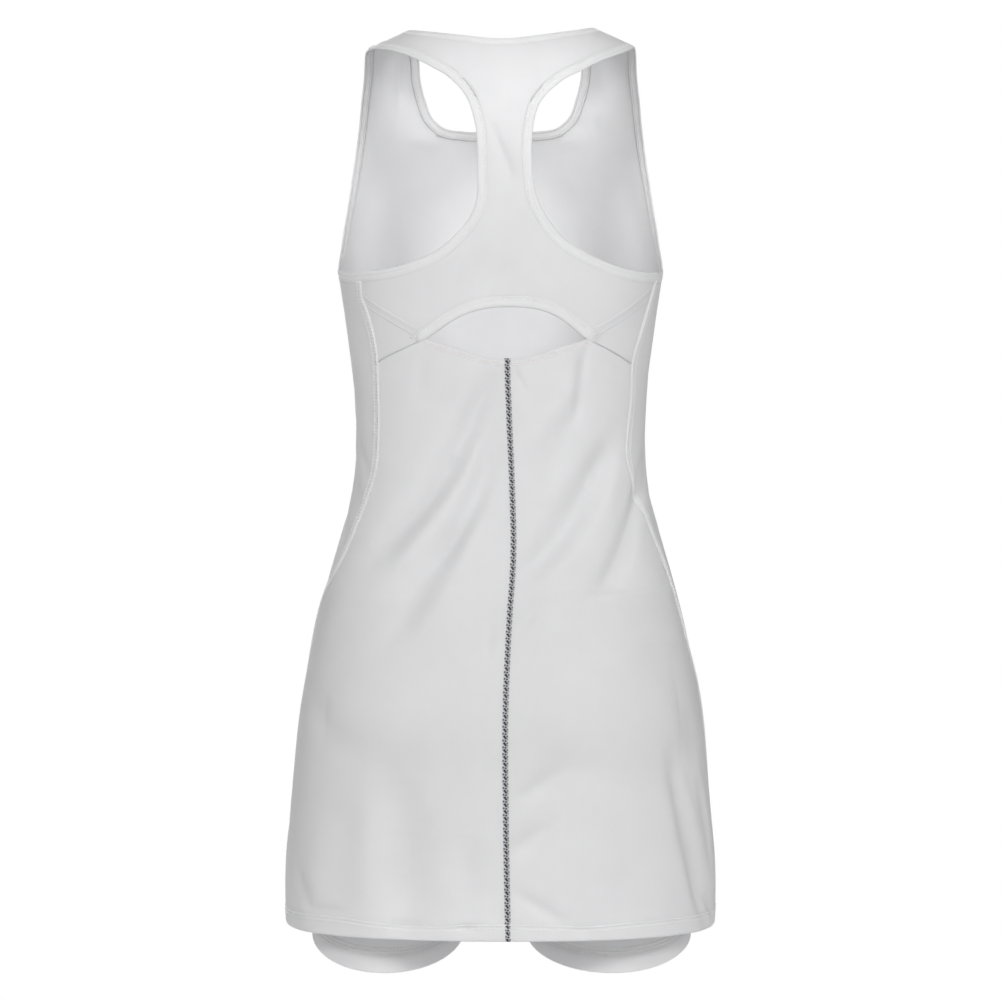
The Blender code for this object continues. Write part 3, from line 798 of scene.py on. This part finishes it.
colours = {
    "dress": ((0.885, 0.885, 0.89), (0.835, 0.835, 0.842)),
    "binding": ((0.915, 0.915, 0.918), (0.88, 0.88, 0.884)),
    "shorts": ((0.90, 0.90, 0.905), (0.86, 0.86, 0.867)),
    "thread": ((0.97, 0.97, 0.97), (0.90, 0.90, 0.91)),
    "warmThread": ((0.93, 0.88, 0.87), (0.83, 0.76, 0.75)),
}
dressKnit = knitMaterial("stretchKnit", *colours["dress"])
bindingKnit = knitMaterial("bindingKnit", *colours["binding"], roughness=0.78, relief=0.8)
shortsKnit = knitMaterial("shortsKnit", *colours["shorts"], roughness=0.8, relief=0.9, through=0.34)
tapeCloth = tapeMaterial("patternedTape")
whiteThread = threadMaterial("whiteThread", *colours["thread"])
warmThread = threadMaterial("warmThread", *colours["warmThread"])
print("materials done")


def sideName(side):
    return "Left" if side > 0 else "Right"


class Side:  # the seams and edges of one side, 1 for the wearer's left and -1 for the right
    def __init__(self, side):
        self.side = side
        armhole = armholeBackLeft if side > 0 else armholeBackRight
        seam = backSeamLeft if side > 0 else backSeamRight
        self.armholeFront = edgeLine(armholeFront, steps["frontArmhole"], side)
        self.backRows = steps["neckBack"] + steps["column"] + steps["arch"] + steps["gussetColumns"]
        self.armholeBack = edgeLine(armhole, self.backRows, side)
        self.underarm = straight(self.armholeFront[-1], self.armholeBack[0], steps["underarm"])
        t = np.linspace(-1, 1, steps["underarm"] + 1)
        self.underarm[:, 1] -= edges["underarmSag"] * (1 - t**6)
        self.armhole = joined(self.armholeFront, self.underarm, self.armholeBack)
        panelEdge = self.asideArmhole(edges["armholeBand"] + edges["halfSeam"])
        lastFront = steps["frontArmhole"]
        lastUnder = lastFront + steps["underarm"]
        self.panelFront = panelEdge[: lastFront + 1]
        self.panelUnder = panelEdge[lastFront : lastUnder + 1]
        self.panelBack = panelEdge[lastUnder:]
        gussetTop = np.array([side * seam["turn"][0], seam["height"][0]])
        gussetHeights = np.linspace(gussetTop[1], yokeLowerEdge["height"][0], steps["gussetRows"] + 1)
        skirtHeights = np.linspace(gussetHeights[-1], panelEnd, steps["skirt"] + 1)
        self.seamGusset = atHeights(seam, gussetHeights, side)
        self.seamSkirt = atHeights(seam, skirtHeights, side)
        underarmSeam = straight(self.panelBack[0], gussetTop, steps["underarmSeam"])
        self.seamBack = joined(underarmSeam, self.seamGusset, self.seamSkirt)
        self.frontHeights = np.linspace(edges["frontSeamStart"], skirtHeights[-1], len(self.seamBack))
        self.seamFront = atHeights(frontSeam, self.frontHeights, side)
        self.seamFront[0] = self.panelFront[-1]

    def asideArmhole(self, distance):  # onto the cloth
        return movedAside(self.armhole, -self.side * distance, fromCrest=True, toCrest=True)

    def aside(self, line, distance):  # to the left on the wearer's left, mirrored on the right
        return movedAside(line, self.side * distance)


def belowCrest(line, *ends):
    line = line.copy()
    for end in ends:
        line[end, 1] -= edges["shoulderGap"]
    return line


def neckLine(columns, rows, distance, centre):
    neck = movedAside(edgeLine(columns, rows), distance, fromCrest=True)
    neck[-1, 0] = centre
    return neck


def archLine(distance):
    line = movedAside(edgeLine(arch, steps["arch"]), distance)
    line[-1, 0] = 180
    return line


def keep(piece, node=None):
    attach(piece, "root")
    if node:
        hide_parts(node)


# a piece from grids of places, whose rows near the hem follow the hem's line
def addCloth(name, node, places, material, wall, out=0.0):
    grids = [onCloth(toHem(grid), out) for grid in places]
    keep(clothPiece(name, grids, [clothUv(grid) for grid in places], material, wall), node)


# a band or strip carried along a line on the cloth, with its section across
def addStrip(name, node, lineAt, section, material, wall, endsUnder=False):
    places = np.stack([lineAt(distance) for distance in section["aside"]], 1)
    out = section["out"] + 0 * places[..., 0]
    if endsUnder:
        out[[0, -1]] = edges["archUnder"]
    addCloth(name, node, [places], material, wall, out)


# a piece that runs all round, from its turns, the heights of its rows and how far each stands out
def addRing(name, node, turn, height, out, material, wall):
    height = height + 0 * turn
    places = np.stack([turn + 0 * height, height], -1)
    points = onCloth(places, out[:, None] + 0 * height)
    keep(clothPiece(name, [points], [clothUv(places)], material, wall, ring=True), node)


def ringTurns(count):
    return np.linspace(-180, 180, count, endpoint=False)


def frontPanel():
    half = edges["halfSeam"]
    neck = neckLine(neckFront, steps["neckFront"], edges["neckBand"] + half, 0)
    centre = straight(neck[-1], (0, edges["frontSeamStart"]), steps["frontArmhole"] - steps["neckFront"])
    grids = []
    for shape in sides:
        side = shape.side
        seam = shape.aside(shape.seamFront, -half)
        seam[0] = shape.panelFront[-1] - (side * edges["cornerGap"], 0)
        centreSkirt = np.stack([seam[:, 0] * 0, shape.frontHeights], -1)
        outer = belowCrest(joined(shape.panelFront, seam), 0)
        inner = belowCrest(joined(neck, centre, centreSkirt) * (side, 1), 0)
        outer[-1, 1] = inner[-1, 1]
        grids.append(ruled(outer, inner, steps["frontColumns"]))
    addCloth("frontPanel", "front_panel", grids, dressKnit, cloth["wall"])


def sidePanel(shape):
    half = edges["halfSeam"]
    front = shape.aside(shape.seamFront, half)
    back = shape.aside(shape.seamBack, -half)
    front[0] = shape.panelUnder[0] + (shape.side * edges["cornerGap"], 0)
    back[0] = shape.panelUnder[-1] - (shape.side * edges["cornerGap"], 0)
    top = shape.panelUnder.copy()
    top[0] = front[0]
    top[-1] = back[0]
    front[-1, 1] = panelEnd
    back[-1, 1] = panelEnd
    grid = patch(top, straight(front[-1], back[-1], steps["underarm"]), front, back)
    name = sideName(shape.side)
    node = "side_panel_" + name.lower()
    addCloth("sidePanel" + name, node, [grid], dressKnit, cloth["wall"])


def backYoke():
    half = edges["halfSeam"]
    neck = neckLine(neckBack, steps["neckBack"], -edges["neckBand"] - half, 180)
    bow = archLine(edges["archBand"] + half)
    centre = straight(neck[-1], bow[-1], steps["column"])
    grids = []
    for shape in sides:
        side = shape.side
        upper = joined(neck, centre, bow[::-1]) * (side, 1)
        slant = shape.aside(straight(upper[-1], shape.seamGusset[0], steps["gussetColumns"]), -half)
        slant[0] = upper[-1]
        slant[-1, 0] += side * edges["slantGap"]
        inner = joined(upper, slant)
        outer = shape.panelBack[::-1].copy()
        outer[-1, 0] += side * edges["slantGap"]
        outer = belowCrest(outer, 0)
        inner = belowCrest(inner, 0)
        grids.append(ruled(outer, inner, steps["yokeColumns"]))
    addCloth("backYoke", "back_yoke", grids, dressKnit, cloth["wall"])


def gussetSlant(shape):
    archEnd = archLine(edges["archBand"] + edges["halfSeam"])[0] * (shape.side, 1)
    return straight(archEnd, shape.seamGusset[0], steps["gussetColumns"])[::-1]


def yokeGusset(shape):
    half = edges["halfSeam"]
    top = shape.aside(gussetSlant(shape), -half)
    bottom = edgeLine(yokeLowerEdge, steps["gussetColumns"], shape.side)
    bottom = shape.aside(bottom, edges["openSeam"])
    seam = shape.aside(shape.seamGusset, half)
    shift = (-shape.side * edges["archEndGap"], 0)
    top[0, 0] = seam[0, 0]
    bottom[0, 0] = seam[-1, 0]
    seam[0] = top[0]
    seam[-1] = bottom[0]
    top[-1] += shift
    bottom[-1] += shift
    inner = straight(top[-1], bottom[-1], steps["gussetRows"])
    name = sideName(shape.side)
    node = "yoke_gusset_" + name.lower()
    grid = patch(top, bottom, seam, inner)
    addCloth("yokeGusset" + name, node, [grid], dressKnit, cloth["wall"])


def turnBesideCentre(distance, height):
    return 180 - np.degrees(distance / follow(sections, "height", height, "halfWidth"))


def backPanel(shape):
    side = shape.side
    top = joined(
        edgeLine(yokeLowerEdge, steps["backOuter"], side), edgeLine(cutout, steps["backInner"], side)
    )
    top = shape.aside(top, -edges["openSeam"])
    seam = shape.aside(shape.seamSkirt, edges["halfSeam"])
    seam[0, 1] = top[0, 1]
    seam[-1, 1] = panelEnd
    top[0] = seam[0]
    centre = straight(top[-1], (0, panelEnd), steps["skirt"])
    centre[:, 0] = side * turnBesideCentre(edges["halfSeam"], centre[:, 1])
    top[-1] = centre[0]
    grid = patch(top, straight(seam[-1], centre[-1], len(top) - 1), seam, centre)
    name = sideName(side)
    node = "back_panel_" + name.lower()
    addCloth("backPanel" + name, node, [grid], dressKnit, cloth["wall"])


tape = {
    "rows": 260,
    "top": -290.6,
    "aboveHem": 0.1,
    "shares": [0, 0.04, 0.12, 0.3, 0.5, 0.7, 0.88, 0.96, 1],  # of the width, one for each column
}
tapeSection = table(  # across as a share of the width, out from the panel in millimetres
    "across out", [(0, -0.35), (0.04, 0.25), (0.15, 0.5), (0.5, 0.62), (0.85, 0.5), (0.96, 0.25), (1, -0.35)]
)


def centreBackTape():
    share = np.array(tape["shares"])
    height = np.linspace(tape["top"], edges["hem"] + tape["aboveHem"], tape["rows"] + 1)[:, None] + 0 * share
    across = (share - 0.5) * edges["tapeWidth"] + 0 * height
    out = follow(tapeSection, "across", share, "out") + 0 * across
    points = onCloth(np.stack([turnBesideCentre(across, height), height], -1), out)
    uv = np.stack([(1 - share) * edges["tapeWidth"] + 0 * across, tape["top"] - height], -1) * mm
    piece = clothPiece("centreBackTape", [points], [uv], tapeCloth, cloth["tapeWall"])
    keep(piece, "centre_back_tape")


# A band's section: how far each column lies from the open edge, and how far it stands out. Two
# narrow dips hold the twin needle rows.
armholeSection = table(
    "aside out",
    [
        (0, -0.75), (0.35, -0.1), (1.1, 0.3), (2.6, 0.42), (4.2, 0.36), (4.9, 0.1), (5.7, 0.36), (6.6, 0.3),
        (7.3, 0.02), (8.0, 0.28), (8.6, 0.22), (9.0, -0.2),
    ],
)
neckSection = table(
    "aside out",
    [
        (0, -0.75), (0.35, -0.1), (1.1, 0.3), (3.0, 0.4), (5.2, 0.34), (5.9, 0.05), (6.7, 0.32),
        (7.5, 0.04), (8.3, 0.26), (9.0, 0.2), (9.4, -0.2),
    ],
)
archSection = table(
    "aside out",
    [
        (0, -0.7), (0.35, 0.0), (1.1, 0.4), (3.4, 0.55), (5.6, 0.45), (6.5, 0.12), (7.3, 0.42), (8.2, 0.12),
        (9.0, 0.32), (9.7, 0.2), (10.2, -0.25),
    ],
)


def bothSides(left, centre):
    return joined(left, (left * (-1, 1) + (2 * centre, 0))[::-1])


def band(name, node, lineAt, section, endsUnder=False):
    addStrip(name, node, lineAt, section, bindingKnit, cloth["bandWall"], endsUnder)


def neckFrontAt(distance):
    line = neckLine(neckFront, steps["neckFront"], distance, 0)
    return belowCrest(bothSides(line, 0), 0, -1)


def neckBackAt(distance):
    line = neckLine(neckBack, steps["neckBack"], -distance, 180)
    return belowCrest(bothSides(line, 180), 0, -1)


def archAt(distance):
    line = archLine(distance)
    beyond = line[:1] + edges["archBeyond"]
    return bothSides(np.concatenate([beyond, line]), 180)


def armholeAt(shape):
    return lambda distance: belowCrest(shape.asideArmhole(distance), 0, -1)


# the turned hem: rows from its sewn line down to the fold at the edge
hemSection = table(
    "share out", [(0, 0.1), (0.08, 0.3), (0.3, 0.45), (0.6, 0.4), (0.85, 0.3), (0.96, 0.05), (1, -0.45)]
)


def hemBand():
    turn = ringTurns(steps["ring"])
    turnUp = follow(hemTurnUp, "turn", turn, "depth") - edges["halfSeam"]
    height = edges["hem"] + turnUp * (1 - hemSection["share"][:, None])
    out = hemSection["out"]
    addRing("hemBand", "hem_band", turn, height, out, dressKnit, cloth["bandWall"])


shorts = {
    "waistbandTop": -500.0,
    "waistband": 36.0,
    "waistbandIn": 2.2,
    "shortsIn": 8.0,
    "riseEnd": -655.0,
    "crotch": -735.0,
    "legEnd": -802.0,
    "legTilt": 0.30,
    "legHem": 14.0,
    "legDepth": 84.0,
    "outsideShare": 0.93,
    "legSteps": 96,
    "crotchSteps": 28,
    "riseRows": 26,
    "legRows": 26,
    "bandGap": 0.2,
    "centreGap": 0.02,
}
legEnds = {1: (33, 169), -1: (23, 171)}


waistbandSection = table(
    "drop out", [(0, -0.3), (1.2, 0.1), (4, 0.15), (12, 0.0), (24, 0.0), (33, 0.1), (35.6, 0.05)]
)


def shortsWaistband():
    turn = ringTurns(steps["ring"] // 2)
    height = shorts["waistbandTop"] - waistbandSection["drop"][:, None]
    out = waistbandSection["out"] - cloth["wall"] - shorts["waistbandIn"]
    name, node = "shortsWaistband", "shorts_waistband"
    addRing(name, node, turn, height, out, shortsKnit, cloth["wall"])


# rows of one half from the waistband down, a little inside the skirt, straight at the centre seams
def riseOfShorts(side):
    turn = side * np.linspace(0, 180, shorts["legSteps"] + 1)
    top = shorts["waistbandTop"] - shorts["waistband"] + shorts["bandGap"]
    heights = np.linspace(top, shorts["riseEnd"], shorts["riseRows"] + 1)
    drop = np.linspace(0, 1, shorts["riseRows"] + 1)[:, None]
    deeper = cloth["wall"] + shorts["waistbandIn"]
    deeper = deeper + (shorts["shortsIn"] - shorts["waistbandIn"]) * np.sqrt(drop)
    places = np.stack(np.meshgrid(turn, heights), -1)
    rise = onCloth(places, out=-deeper)
    share = np.linspace(0, 1, shorts["legSteps"] + 1)
    rise[..., 0] -= rise[:, :1, 0] * (1 - share) ** 4 + rise[:, -1:, 0] * share**4
    rise[..., 0] += side * shorts["centreGap"] * mm
    return rise, places


# rows of a leg: the rise's last row closed by a saddle under the crotch, blended to a slanting oval
def legOfShorts(side, waist):
    t = np.linspace(0, 1, shorts["crotchSteps"] + 1)[1:-1]
    front, back = waist[0], waist[-1]
    saddleY = back[1] + (front[1] - back[1]) * (0.5 - 0.5 * np.cos(np.pi * t))
    saddleZ = (shorts["riseEnd"] + (shorts["crotch"] - shorts["riseEnd"]) * np.sin(np.pi * t) ** 0.8) * mm
    saddle = np.stack([np.full(len(t), front[0]), saddleY, saddleZ], -1)
    top = np.concatenate([waist, saddle])
    inner, outer = legEnds[side]
    halfTurn = np.pi / 2 * shorts["outsideShare"]
    outside = np.linspace(-halfTurn, halfTurn, len(waist))
    angle = np.concatenate([outside, halfTurn + 2 * (np.pi - halfTurn) * t])
    endX = side * ((outer + inner) / 2 + (outer - inner) / 2 * np.cos(angle)) * mm
    endY = shorts["legDepth"] * np.sin(angle) * mm
    endZ = (shorts["legEnd"] + shorts["legHem"]) * mm - shorts["legTilt"] * endY
    end = np.stack([endX, endY, endZ], -1)
    share = np.linspace(0, 1, shorts["legRows"] + 1)[:, None, None] * np.ones(3)
    share[..., :2] = share[..., :2] ** 2 * (3 - 2 * share[..., :2])
    return top[None] * (1 - share) + end[None] * share


def lengthUv(points):  # metres along the columns and down the rows
    across = np.linalg.norm(np.diff(points, axis=1), axis=-1).cumsum(1)
    down = np.linalg.norm(np.diff(points, axis=0), axis=-1).cumsum(0)
    u = np.concatenate([np.zeros((len(points), 1)), across], 1)
    v = np.concatenate([np.zeros((1, points.shape[1])), -down], 0)
    return np.stack([u, v], -1)


legHemSection = table(
    "drop out", [(0.2, 0.1), (1.0, 0.35), (4.0, 0.4), (9.0, 0.3), (12.8, 0.2), (13.6, 0.0), (14.0, -0.5)]
)
legRings = {}  # for each side, a leg's last row, the row above it, and the way out from its middle


# rows all round a leg, on the wearer's left or right
def addLegRing(name, node, side, rows, wall):
    name, uvs = name + sideName(side), [lengthUv(rows)]
    middle = legRings[side][0][:, 0].mean()
    keep(clothPiece(name, [rows], uvs, shortsKnit, wall, ring=True, middle=middle), node)


def shortsHalf(side):
    rise, places = riseOfShorts(side)
    leg = legOfShorts(side, rise[-1])
    closedLeg = np.concatenate([leg, leg[:, :1]], axis=1)
    middle = leg[-1, :, 0].mean()
    name = sideName(side)
    uvs = [clothUv(places), lengthUv(closedLeg)]
    half = clothPiece("shorts" + name, [rise, closedLeg], uvs, shortsKnit, cloth["wall"], middle=middle)
    keep(half, "shorts_" + name.lower())
    outward = leg[-1] - leg[-1].mean(0)
    outward[:, 2] = 0
    outward = outward / np.linalg.norm(outward, axis=-1, keepdims=True)
    legRings[side] = (leg[-1], leg[-2], outward)
    drops = zip(*legHemSection.values())
    rows = np.stack([leg[-1] + (0, 0, -drop * mm) + outward * out * mm for drop, out in drops])
    addLegRing("shortsHem", "shorts_hem_" + name.lower(), side, rows, cloth["bandWall"])


sides = [Side(1), Side(-1)]
frontPanel()
backYoke()
for shape in sides:
    sidePanel(shape)
    yokeGusset(shape)
    backPanel(shape)
centreBackTape()
band("neckBandFront", "neck_band_front", neckFrontAt, neckSection)
band("neckBandBack", "neck_band_back", neckBackAt, neckSection)
band("archBand", "arch_band", archAt, archSection, endsUnder=True)
for shape in sides:
    name = sideName(shape.side)
    band("armholeBand" + name, "armhole_band_" + name.lower(), armholeAt(shape), armholeSection)
hemBand()
shortsWaistband()
for side in (1, -1):
    shortsHalf(side)


# The flat covered seam, from the side panel over to the back: a strip, a dip on the seam itself and
# a narrow lip that catches the light.
seamSection = table(
    "aside out",
    [
        (-5.0, -0.4), (-4.7, 0.5), (-4.0, 0.85), (-2.4, 0.62), (-0.9, 0.6), (-0.3, 0.1), (0.3, 0.8),
        (1.0, 1.5), (1.7, 1.35), (2.3, 0.5), (2.6, -0.4),
    ],
)
slantSection = table(
    "aside out",
    [
        (-4.4, -0.2), (-3.8, 0.12), (-2.9, 0.22), (-1.5, 0.14), (0, 0.04), (1.5, 0.14), (2.9, 0.22),
        (3.8, 0.12), (4.4, -0.2),
    ],
)


def seamStrip(name, line, section, mirror, material, endsUnder=False):
    def lineAt(distance):
        return movedAside(line, mirror * distance)

    addStrip(name, None, lineAt, section, material, cloth["stripWall"], endsUnder)


bead = {
    "shoulder": 0.62,  # where a stitch is widest, from its middle to its end
    "sink": 0.25,  # how deep its ends lie in the cloth, as a share of its height
}


# stitches as small beads with pointed ends, laid along a line of points
def stitchBeads(points, normals, length, gap, width, tall):
    runs = np.linalg.norm(np.diff(points, axis=0), axis=-1)
    at = np.concatenate([[0], np.cumsum(runs)])
    count = max(int(at[-1] / (length + gap)), 1)
    centres = (np.arange(count) + 0.5) * at[-1] / count

    def read(values, where):
        return np.stack([np.interp(where, at, values[:, axis]) for axis in range(3)], -1)

    half = length / 2
    start, middle, end = read(points, centres - half), read(points, centres), read(points, centres + half)
    normal = read(normals, centres)
    normal = normal / np.linalg.norm(normal, axis=-1, keepdims=True)
    along = end - start
    along = along / np.linalg.norm(along, axis=-1, keepdims=True)
    across = np.cross(normal, along)
    low = -bead["sink"] * tall * normal
    rings = []
    wide = bead["shoulder"]
    for centre in (start * wide + middle * (1 - wide), end * wide + middle * (1 - wide)):
        aside = across * width / 2
        rings += [centre + aside, centre + normal * tall, centre - aside, centre + low * 2]
    vertices = np.stack([start + low, *rings, end + low], 1)
    pattern = []
    for corner in range(4):
        following = (corner + 1) % 4
        pattern += [(0, 1 + following, 1 + corner), (9, 5 + corner, 5 + following)]
        pattern += [(1 + corner, 1 + following, 5 + following), (1 + corner, 5 + following, 5 + corner)]
    faces = np.array(pattern)[None] + np.arange(count)[:, None, None] * 10
    return vertices.reshape(-1, 3), faces.reshape(-1, 3)


def stitchPiece(name, rows, material, length=2.4, gap=0.55, width=0.55, tall=0.3):
    points, faces, count = [], [], 0
    for line, normals in rows:
        vertices, triangles = stitchBeads(line, normals, length * mm, gap * mm, width * mm, tall * mm)
        points.append(vertices)
        faces.append(triangles + count)
        count += len(vertices)
    piece = meshObject(name, np.concatenate(points), np.concatenate(faces))
    agreeFaces(piece)
    piece.data.materials.append(material)
    keep(piece)


# a row of places as points with normals that point away from the cloth, outside or inside
def rowOn(places, out, inside=False):
    normals = slopes(places[:, 0], places[:, 1])[2]
    return onCloth(places, out), -normals if inside else normals


# rows of stitches: how far each lies aside of its line or above the edge, and how far it stands out
stitchRows = {
    "seam": [(-4.0, 0.8), (-0.9, 0.55), (1.35, 1.4)],
    "slant": [(-2.9, 0.12), (2.9, 0.12)],
    "armhole": [(5.0, 0.12), (6.8, 0.12)],
    "neck": [(6.1, 0.1), (7.6, 0.1)],
    "arch": [(6.5, 0.45), (7.9, 0.45)],
    "cutout": [(3.1, 0.06), (5.4, 0.06)],
    "hem": [(1.9, 0.55), (-1.3, 0.55)],
    "leg": [(1.2, 0.45), (4.4, 0.45), (7.6, 0.45)],
}
insideBand = -cloth["bandWall"] - 0.02

seamRows = []
for shape in sides:
    name = sideName(shape.side)
    seamFront = shape.seamFront[1:]
    seamStrip("seamBack" + name, shape.seamBack, seamSection, shape.side, bindingKnit)
    seamStrip("seamFront" + name, seamFront, seamSection, -shape.side, bindingKnit)
    seamStrip("seamSlant" + name, gussetSlant(shape), slantSection, shape.side, dressKnit, endsUnder=True)
    for distance, out in stitchRows["seam"]:
        seamRows.append(rowOn(toHem(shape.aside(shape.seamBack, distance)), out))
        seamRows.append(rowOn(toHem(shape.aside(seamFront, -distance)), out))
    for distance, out in stitchRows["slant"]:
        seamRows.append(rowOn(shape.aside(gussetSlant(shape)[1:-2], distance), out))
stitchPiece("seamStitches", seamRows, whiteThread, width=0.7, tall=0.4)

bandRows = []
for shape in sides:
    lineAt = armholeAt(shape)
    for distance, out in stitchRows["armhole"]:
        bandRows.append(rowOn(lineAt(distance), out))
        bandRows.append(rowOn(lineAt(distance), insideBand, inside=True))
for distance, out in stitchRows["neck"]:
    bandRows.append(rowOn(neckFrontAt(distance), out))
    bandRows.append(rowOn(neckFrontAt(distance), insideBand, inside=True))
    bandRows.append(rowOn(neckBackAt(distance), out))
for distance, out in stitchRows["arch"]:
    bandRows.append(rowOn(archAt(distance), out))
stitchPiece("bandStitches", bandRows, whiteThread, width=0.7, tall=0.45)

cutoutRows = []
for shape in sides:
    line = edgeLine(cutout, steps["cutoutStitches"], shape.side)
    for distance, out in stitchRows["cutout"]:
        cutoutRows.append(rowOn(shape.aside(line, -distance), out))
stitchPiece("cutoutStitches", cutoutRows, warmThread, width=0.8, tall=0.5)

# the covered seam of the hem: two rows of thread that stand out over the joint
coverSection = table(
    "above out",
    [
        (3.0, -0.3), (2.5, 0.2), (1.9, 0.62), (1.3, 0.3), (0.3, 0.2), (-0.7, 0.3), (-1.3, 0.62),
        (-1.9, 0.2), (-2.4, -0.3),
    ],
)
turn = ringTurns(steps["ring"])
height = edges["hem"] + follow(hemTurnUp, "turn", turn, "depth") + coverSection["above"][:, None]
out = coverSection["out"]
addRing("hemCover", None, turn, height, out, bindingKnit, cloth["coverWall"])

hemRows = []
turn = np.linspace(-180, 180, steps["hemStitches"])
hemLine = edges["hem"] + follow(hemTurnUp, "turn", turn, "depth")
for above, out in stitchRows["hem"]:
    hemRows.append(rowOn(np.stack([turn, hemLine + above], -1), out))
stitchPiece("hemStitches", hemRows, whiteThread, length=2.7)


# a line round a leg, some millimetres above its hem and out from its cloth
def legLine(side, above, out):
    last, before, outward = legRings[side]
    share = above * mm / np.linalg.norm(last - before, axis=-1)[:, None]
    return last + (before - last) * share + outward * out * mm


legSection = table(
    "above out",
    [
        (8.9, -0.2), (8.3, 0.15), (7.6, 0.5), (6.9, 0.15), (5.1, 0.15), (4.4, 0.5), (3.7, 0.15),
        (1.9, 0.15), (1.2, 0.5), (0.5, 0.2), (-0.4, 0.45), (-0.9, 0.1),
    ],
)
legRows = []
for side in (1, -1):
    rings = np.stack([legLine(side, above, out) for above, out in zip(*legSection.values())])
    addLegRing("legCover", None, side, rings, cloth["coverWall"])
    outward = legRings[side][2]
    closed = np.concatenate([outward, outward[:1]])
    for above, out in stitchRows["leg"]:
        line = legLine(side, above, out)
        legRows.append((np.concatenate([line, line[:1]]), closed))
stitchPiece("shortsStitches", legRows, whiteThread, length=2.4, width=0.7, tall=0.4)
print("sewing done")

studio = {
    "floor": -1.2,
    "floorSize": 1.25,
    "floorHole": 0.04,  # the innermost ring, as a share of the size
    "floorRings": 25,
    "floorSides": 96,
    "floorFade": 2.2,
    "floorColours": ((0.74, 0.74, 0.745), (0.78, 0.78, 0.785)),
    "ambient": 0.24,
    "backdrop": 1.0,
    "lights": [  # name, place, aims at, size, watts
        ("leftKey", (1.5, 3.4, 1.45), (0, 0, -0.55), 0.9, 55.0),
        ("rightKey", (-1.7, 3.4, 1.45), (0, 0, -0.55), 0.9, 59.0),
        ("leftLight", (2.5, 1.8, -0.3), (0, 0, -0.6), 1.4, 20.0),
        ("rightLight", (-2.5, 1.8, -0.3), (0, 0, -0.6), 1.4, 24.0),
        ("frontLight", (0.4, -3.2, 0.6), (0, 0, -0.35), 2.0, 122.0),
    ],
    "sensor": 36,
    "cameraDistance": 2.8,
    "cameraHeight": -0.4145,
    "viewWidth": 0.9009,
}


def floorMaterial():
    shader = Shader("paleFloor")
    place = shader.node("ShaderNodeTexCoord", output=3)
    split = shader.node("ShaderNodeSeparateXYZ", n0=place)
    x, y = split, Signal(shader, split.socket.node.outputs[1])
    distance = (x * x + y * y).math("SQRT") * (1 / studio["floorSize"])
    fade = ((1 - distance) * studio["floorFade"]).math("MAXIMUM", 0.0).math("MINIMUM", 1.0)
    grain = shader.node("ShaderNodeTexNoise", Vector=place, Scale=6.0)
    colour = shader.mix(grain, *studio["floorColours"])
    cover = shader.node("ShaderNodeBsdfPrincipled", Base_Color=colour, Roughness=0.9, Alpha=fade)
    return shader.finish(cover)


def makeFloor():
    rings, corners = studio["floorRings"], studio["floorSides"]
    radius = np.linspace(studio["floorHole"], 1, rings)[:, None] * studio["floorSize"]
    angle = np.linspace(0, 2 * np.pi, corners, endpoint=False)
    height = studio["floor"] + 0 * radius * angle
    points = np.stack([radius * np.cos(angle), radius * np.sin(angle), height], -1)
    floor = meshObject("floor", points.reshape(-1, 3), gridFaces(rings, corners, ring=True))
    agreeFaces(floor, lambda face: face.normal.z, capped=corners)
    floor.data.materials.append(floorMaterial())


makeFloor()
for name, place, target, size, watts in studio["lights"]:
    data = bpy.data.lights.new(name, "AREA")
    data.shape = "DISK"
    data.size = size
    data.energy = watts
    lamp = bpy.data.objects.new(name, data)
    bpy.context.scene.collection.objects.link(lamp)
    place, target = np.array(place), np.array(target)
    away = (place - target) / np.linalg.norm(place - target)
    lamp.location = place
    lamp.rotation_euler = (np.arccos(away[2]), 0, np.arctan2(away[1], away[0]) + np.pi / 2)

world = bpy.data.worlds.new("studio")
world.use_nodes = True
nodes, links = world.node_tree.nodes, world.node_tree.links
nodes.clear()


def background(strength):
    node = nodes.new("ShaderNodeBackground")
    node.inputs["Color"].default_value = (1, 1, 1, 1)
    node.inputs["Strength"].default_value = strength
    return node.outputs[0]


# the camera sees a white backdrop, and the cloth is lit by a dimmer one
ray = nodes.new("ShaderNodeLightPath")
both = nodes.new("ShaderNodeMixShader")
target = nodes.new("ShaderNodeOutputWorld")
links.new(ray.outputs["Is Camera Ray"], both.inputs[0])
links.new(background(studio["ambient"]), both.inputs[1])
links.new(background(studio["backdrop"]), both.inputs[2])
links.new(both.outputs[0], target.inputs["Surface"])
scene = bpy.context.scene
scene.world = world
scene.view_settings.view_transform = "Standard"

camera = bpy.data.objects.new("camera", bpy.data.cameras.new("camera"))
scene.collection.objects.link(camera)
camera.data.sensor_width = studio["sensor"]
camera.data.sensor_fit = "HORIZONTAL"
camera.data.lens = studio["sensor"] * studio["cameraDistance"] / studio["viewWidth"]
camera.location = (0, studio["cameraDistance"], studio["cameraHeight"])
camera.rotation_euler = (np.pi / 2, 0, np.pi)
scene.camera = camera
print("stage, light and camera done")
